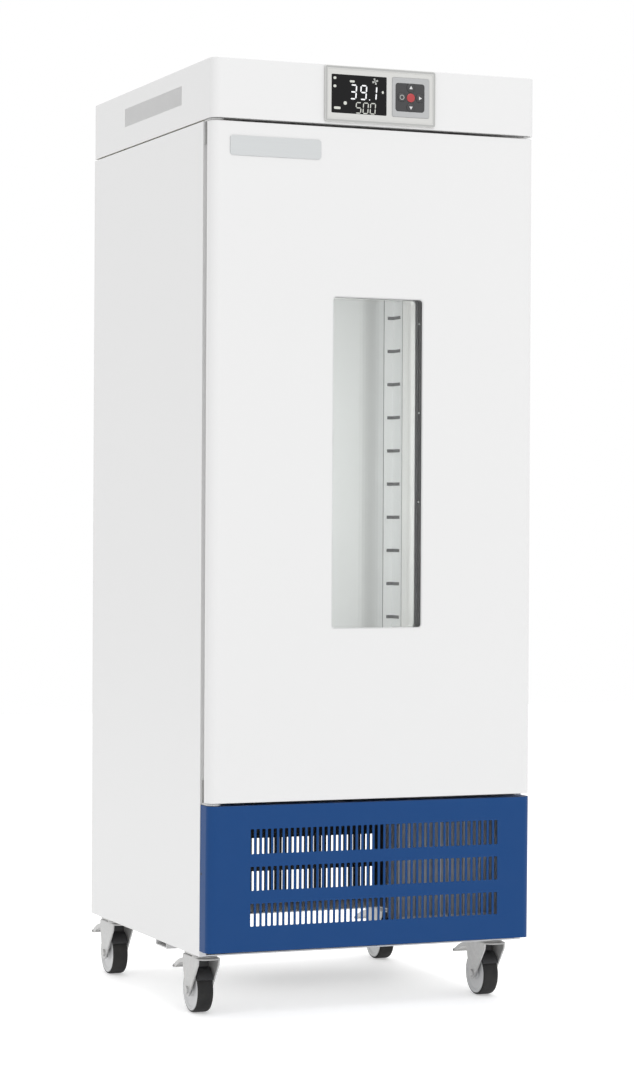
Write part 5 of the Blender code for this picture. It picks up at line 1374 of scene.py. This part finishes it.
# %% [markdown]
# ## Shelves
#
# The shelves are welded from round wire: a frame, cross wires and two ears a side that hook into the posts.
# Flat bars would do from afar, but round wire catches one thin highlight each, which is how a rack reads.
# Each wire is a swept tube along its own route.

# %% Swept wire
def swept(name, route, radius, sides=10):
    """A closed tube along a route of points."""
    bm = bmesh.new()
    route = [Vector(point) for point in route]
    across = (route[1] - route[0]).normalized().orthogonal().normalized()
    turns = [math.tau * step / sides for step in range(sides)]
    loops = []
    for i, point in enumerate(route):
        before = (point - route[i - 1]).normalized() if i else (route[1] - point).normalized()
        after = (route[i + 1] - point).normalized() if i + 1 < len(route) else before
        mid = (before + after).normalized()
        across = (across - mid * across.dot(mid)).normalized()
        side = mid.cross(across)
        loops.append([bm.verts.new(point + radius * (math.cos(a) * across + math.sin(a) * side))
                      for a in turns])
    skin(bm, loops)
    return finished_mesh(bm, name)


WIRE_R, CROSS_R = 0.0019, 0.0013
SHELF_SIDE, SHELF_CORNER, SHELF_GAPS = 0.0813, 0.006, 27
EAR_Y, EAR_HALF, EAR_BEND, EAR_PLAY = (0.110, 0.442), 0.004, 0.002, 0.0004
CROSS_LIFT, STAY_SHARES = 0.0004, (0.33, 0.67)


def shelf_mesh(node):
    """A frame of thick wire, ears out to the posts, and thin cross wires lying on it."""
    low, high = span(node)
    x0, x1 = SHELF_SIDE, WIDTH - SHELF_SIDE
    y0, y1 = low.y + WIRE_R, high.y - WIRE_R
    z = low.z + WIRE_R + 0.0001
    c = SHELF_CORNER
    route = [(x0 + c, y0), (x1 - c, y0), (x1, y0 + c), (x1, y1 - c), (x1 - c, y1),
             (x0 + c, y1), (x0, y1 - c), (x0, y0 + c), (x0 + c, y0), (x0 + c + 0.002, y0)]
    wires = [swept("wire", [(x, y, z) for x, y in route], WIRE_R)]
    for end in EAR_Y:
        for x, way, tip in ((x0, -1, low.x + EAR_PLAY), (x1, 1, high.x - EAR_PLAY)):
            bend = tip - way * EAR_BEND
            route = [(x, -EAR_HALF), (bend, -EAR_HALF), (tip, -EAR_BEND),
                     (tip, EAR_BEND), (bend, EAR_HALF), (x, EAR_HALF)]
            wires.append(swept("ear", [(u, end + v, z) for u, v in route], WIRE_R, 8))
    for i in range(1, SHELF_GAPS):
        x = x0 + (x1 - x0) * i / SHELF_GAPS
        wires.append(swept("wire", [(x, y0, z + CROSS_LIFT), (x, y1, z + CROSS_LIFT)], CROSS_R, 8))
    for share in STAY_SHARES:
        y = y0 + (y1 - y0) * share
        wires.append(swept("stay", [(x0, y, z), (x1, y, z)], CROSS_R, 8))
    return merged("shelf", wires)


for node_name in ("lower_shelf", "upper_shelf"):
    faces(dress("wire_" + node_name, shelf_mesh(node_name), "wire_steel", "cabinet", (node_name,)))

# %% [markdown]
# ## Painted shade behind the posts
#
# The slots of the rear posts read as dark ticks, and a fine dark line runs down each edge of a post: both
# are shade. With the white lining right behind them neither would show. A thin dark strip in the gap behind
# the post paints that shade in: it is seen through the slots, and it stands out a millimetre at each edge.

# %% Post strips: painted shade
STRIP_NEAR, STRIP_FAR, STRIP_OUT = 0.00005, 0.00025, 0.001


def post_shade_strip(node, mirrored=False):
    """The two legs of a thin dark angle behind a rear post, which paint the shade in its slots and at its
    edges.
    """
    low, high = span(node)
    side_y, rear_y = (low.y - STRIP_OUT, high.y + 0.0002), (high.y + STRIP_NEAR, high.y + STRIP_FAR)
    legs = [((high.x + STRIP_NEAR, high.x + STRIP_FAR), side_y), ((low.x - STRIP_OUT, high.x), rear_y)]
    if mirrored:
        legs = [((low.x - STRIP_FAR, low.x - STRIP_NEAR), side_y), ((low.x, high.x + STRIP_OUT), rear_y)]
    ends = (low.z + 0.001, high.z - 0.001)
    return [extruded("leg", "z", [(x0, y0), (x1, y0), (x1, y1), (x0, y1)], *ends)
            for (x0, x1), (y0, y1) in legs]


shade_strips = post_shade_strip("rear_right_post") + post_shade_strip("rear_left_post", mirrored=True)
# The dark strips are painted shade: the shade inside the post slots and along the posts' edges.
faces(dress("rear_post_shade_strips", merged("shade_strips", shade_strips), "pad_dark_grey", "cabinet"))

# %% [markdown]
# ## The bay's lining
#
# Seen through the plinth, the bay is dark wherever daylight doesn't come through its rear slots. A white
# sheet would be lit from both sides and look grey. So the bay is lined behind and above with a dark sheet,
# painted shade, cut out at the slots and at the inlet. Its thickness also narrows the slots for a slanting
# view, and that gives the beat its dark columns.

# %% Dark lining with its own slots: painted shade
SHADE_SHEET_Y = (DEPTH - 0.0045, DEPTH - 0.0016)
SHADE_SHEET_IN, SHADE_SHEET_Z, COVER_Y = 0.004, (0.109, 0.355), 0.045
REAR_SLOT_X, REAR_COUNT, REAR_PITCH, REAR_SLOT_W = 0.2490, 31, 0.0099, 0.0054
REAR_ROWS, INLET_GAP = ((0.126, 0.167), (0.187, 0.228)), 0.002
past = (SHADE_SHEET_Y[0] - 0.001, SHADE_SHEET_Y[1] + 0.001)
shade_sheet_rect = (SHADE_SHEET_IN, WIDTH - SHADE_SHEET_IN, *SHADE_SHEET_Z, 0.001)
board = formed("board", "y", [(shade_sheet_rect, y) for y in SHADE_SHEET_Y], steps=0)
rear_slots = slots("y", REAR_SLOT_X, REAR_COUNT, REAR_PITCH, REAR_SLOT_W, REAR_ROWS, past)
inlet_low, inlet_high = span("power_inlet")
inlet_rect = (inlet_low.x - INLET_GAP, inlet_high.x + INLET_GAP,
              inlet_low.z - INLET_GAP, inlet_high.z + INLET_GAP, 0.001)
inlet_hole = formed("hole", "y", [(inlet_rect, y) for y in past], steps=0)
board = cut(board, "DIFFERENCE", rear_slots, inlet_hole)
ceiling = span("bay_ceiling")[0].z
cover_rect = (SHADE_SHEET_IN, WIDTH - SHADE_SHEET_IN, COVER_Y, SHADE_SHEET_Y[0] - 0.0002, 0.001)
cover = formed("cover", "z", [(cover_rect, ceiling - down) for down in (0.0022, 0.0002)], steps=0)
# The lining's dark finish is painted shade for the bay seen through the plinth.
faces(dress("bay_shade_lining", merged("lining", [board, cover]), "pad_dark_grey", "cabinet"))

# %% [markdown]
# ## Fine fins
#
# The condenser's face is a pack of fins a millimetre or two apart, too fine to tell one from the next
# through the plinth. Between the solid's coarse fins one would see black. A pleated sheet behind their front
# edges fills it: folds cost far less than single fins, and blur to the same even grey.

# %% Pleated fin pack
pack_low, pack_high = span("condenser")
PLEAT, PLEAT_DEEP, PLEAT_SHEET, PACK_IN = 0.0016, 0.004, 0.0002, 0.003
count = int((pack_high.x - pack_low.x - 2 * PACK_IN) / PLEAT)
folds = [(pack_low.x + PACK_IN + i * PLEAT, pack_low.y + 0.0025 + (i % 2) * PLEAT_DEEP)
         for i in range(count)]
fins = extruded("fins", "z", strip(folds, PLEAT_SHEET), pack_low.z + 0.006, pack_high.z - 0.004)
faces(dress("condenser_fine_fins", fins, "fin_aluminium", "cabinet", sharp=10.0))

# %% [markdown]
# ## The plates that the CAD already shapes well
#
# Folded panels, the lining, the posts and the cooling set keep their CAD solids. They need two things: a
# finish, and a bevel, because a perfectly sharp edge shows no light. The bevel is a modifier, so the CAD
# mesh itself is untouched, and it is narrow enough to stay inside the piece.

# %% Finish and ease the CAD nodes that stay
KEPT = {
    "white_powder_coat": ("left_side_panel", "right_side_panel", "rear_panel", "base_frame", "bay_ceiling"),
    "chamber_white": ("chamber_liner", "door_inner_pan"),
    "duct_sheet": ("air_duct_cover",),
    "foam_cream": ("insulation", "door_insulation"),
    "post_steel": ("front_left_post", "front_right_post", "rear_left_post", "rear_right_post"),
    "zinc_plate": ("upper_hinge_plate", "lower_hinge_plate"),
    "fin_aluminium": ("evaporator", "condenser"),
    "chassis_black": ("compressor", "condenser_fan_shroud"),
    "moulded_black": ("condenser_fan", "circulation_fan", "circulation_fan_motor", "power_inlet"),
    "heater_sheath": ("heater",),
    "board_green": ("control_board",),
    "float_glass": ("window_outer_pane", "window_inner_pane"),
}
FINE_EDGE = 0.0003
EDGE = {"float_glass": 0.0006, "foam_cream": 0.0, "chassis_black": 0.0008}


def keep(node_name, finish_name):
    """Give a CAD node its finish, and ease its edges with a narrow bevel."""
    item = NODES[node_name]
    material, slot = FINISHES[finish_name]
    item.data.materials.clear()
    item.data.materials.append(material)
    item.data.shade_smooth()
    item.data.set_sharp_from_angle(angle=math.radians(35))
    width = EDGE.get(finish_name, FINE_EDGE)
    if width:
        bevel = item.modifiers.new("eased_edge", "BEVEL")
        bevel.width, bevel.segments, bevel.limit_method = width, 2, "ANGLE"
        bevel.angle_limit = math.radians(50)


for finish_name, names in KEPT.items():
    for node_name in names:
        keep(node_name, finish_name)
kept_names = sum(KEPT.values(), ())
left_over = [name for name, item in NODES.items() if not item.hide_render and name not in kept_names]
print("CAD nodes kept:", len(kept_names), "without a finish:", left_over)

# %% [markdown]
# ## Before the lesson ends
#
# The visual model has to stay inside the CAD's box, or it won't fit where the part is meant to go. White is
# shown as white: the plain view transform keeps the paint's own shade.

# %% The last line
bpy.context.scene.view_settings.view_transform = "Standard"
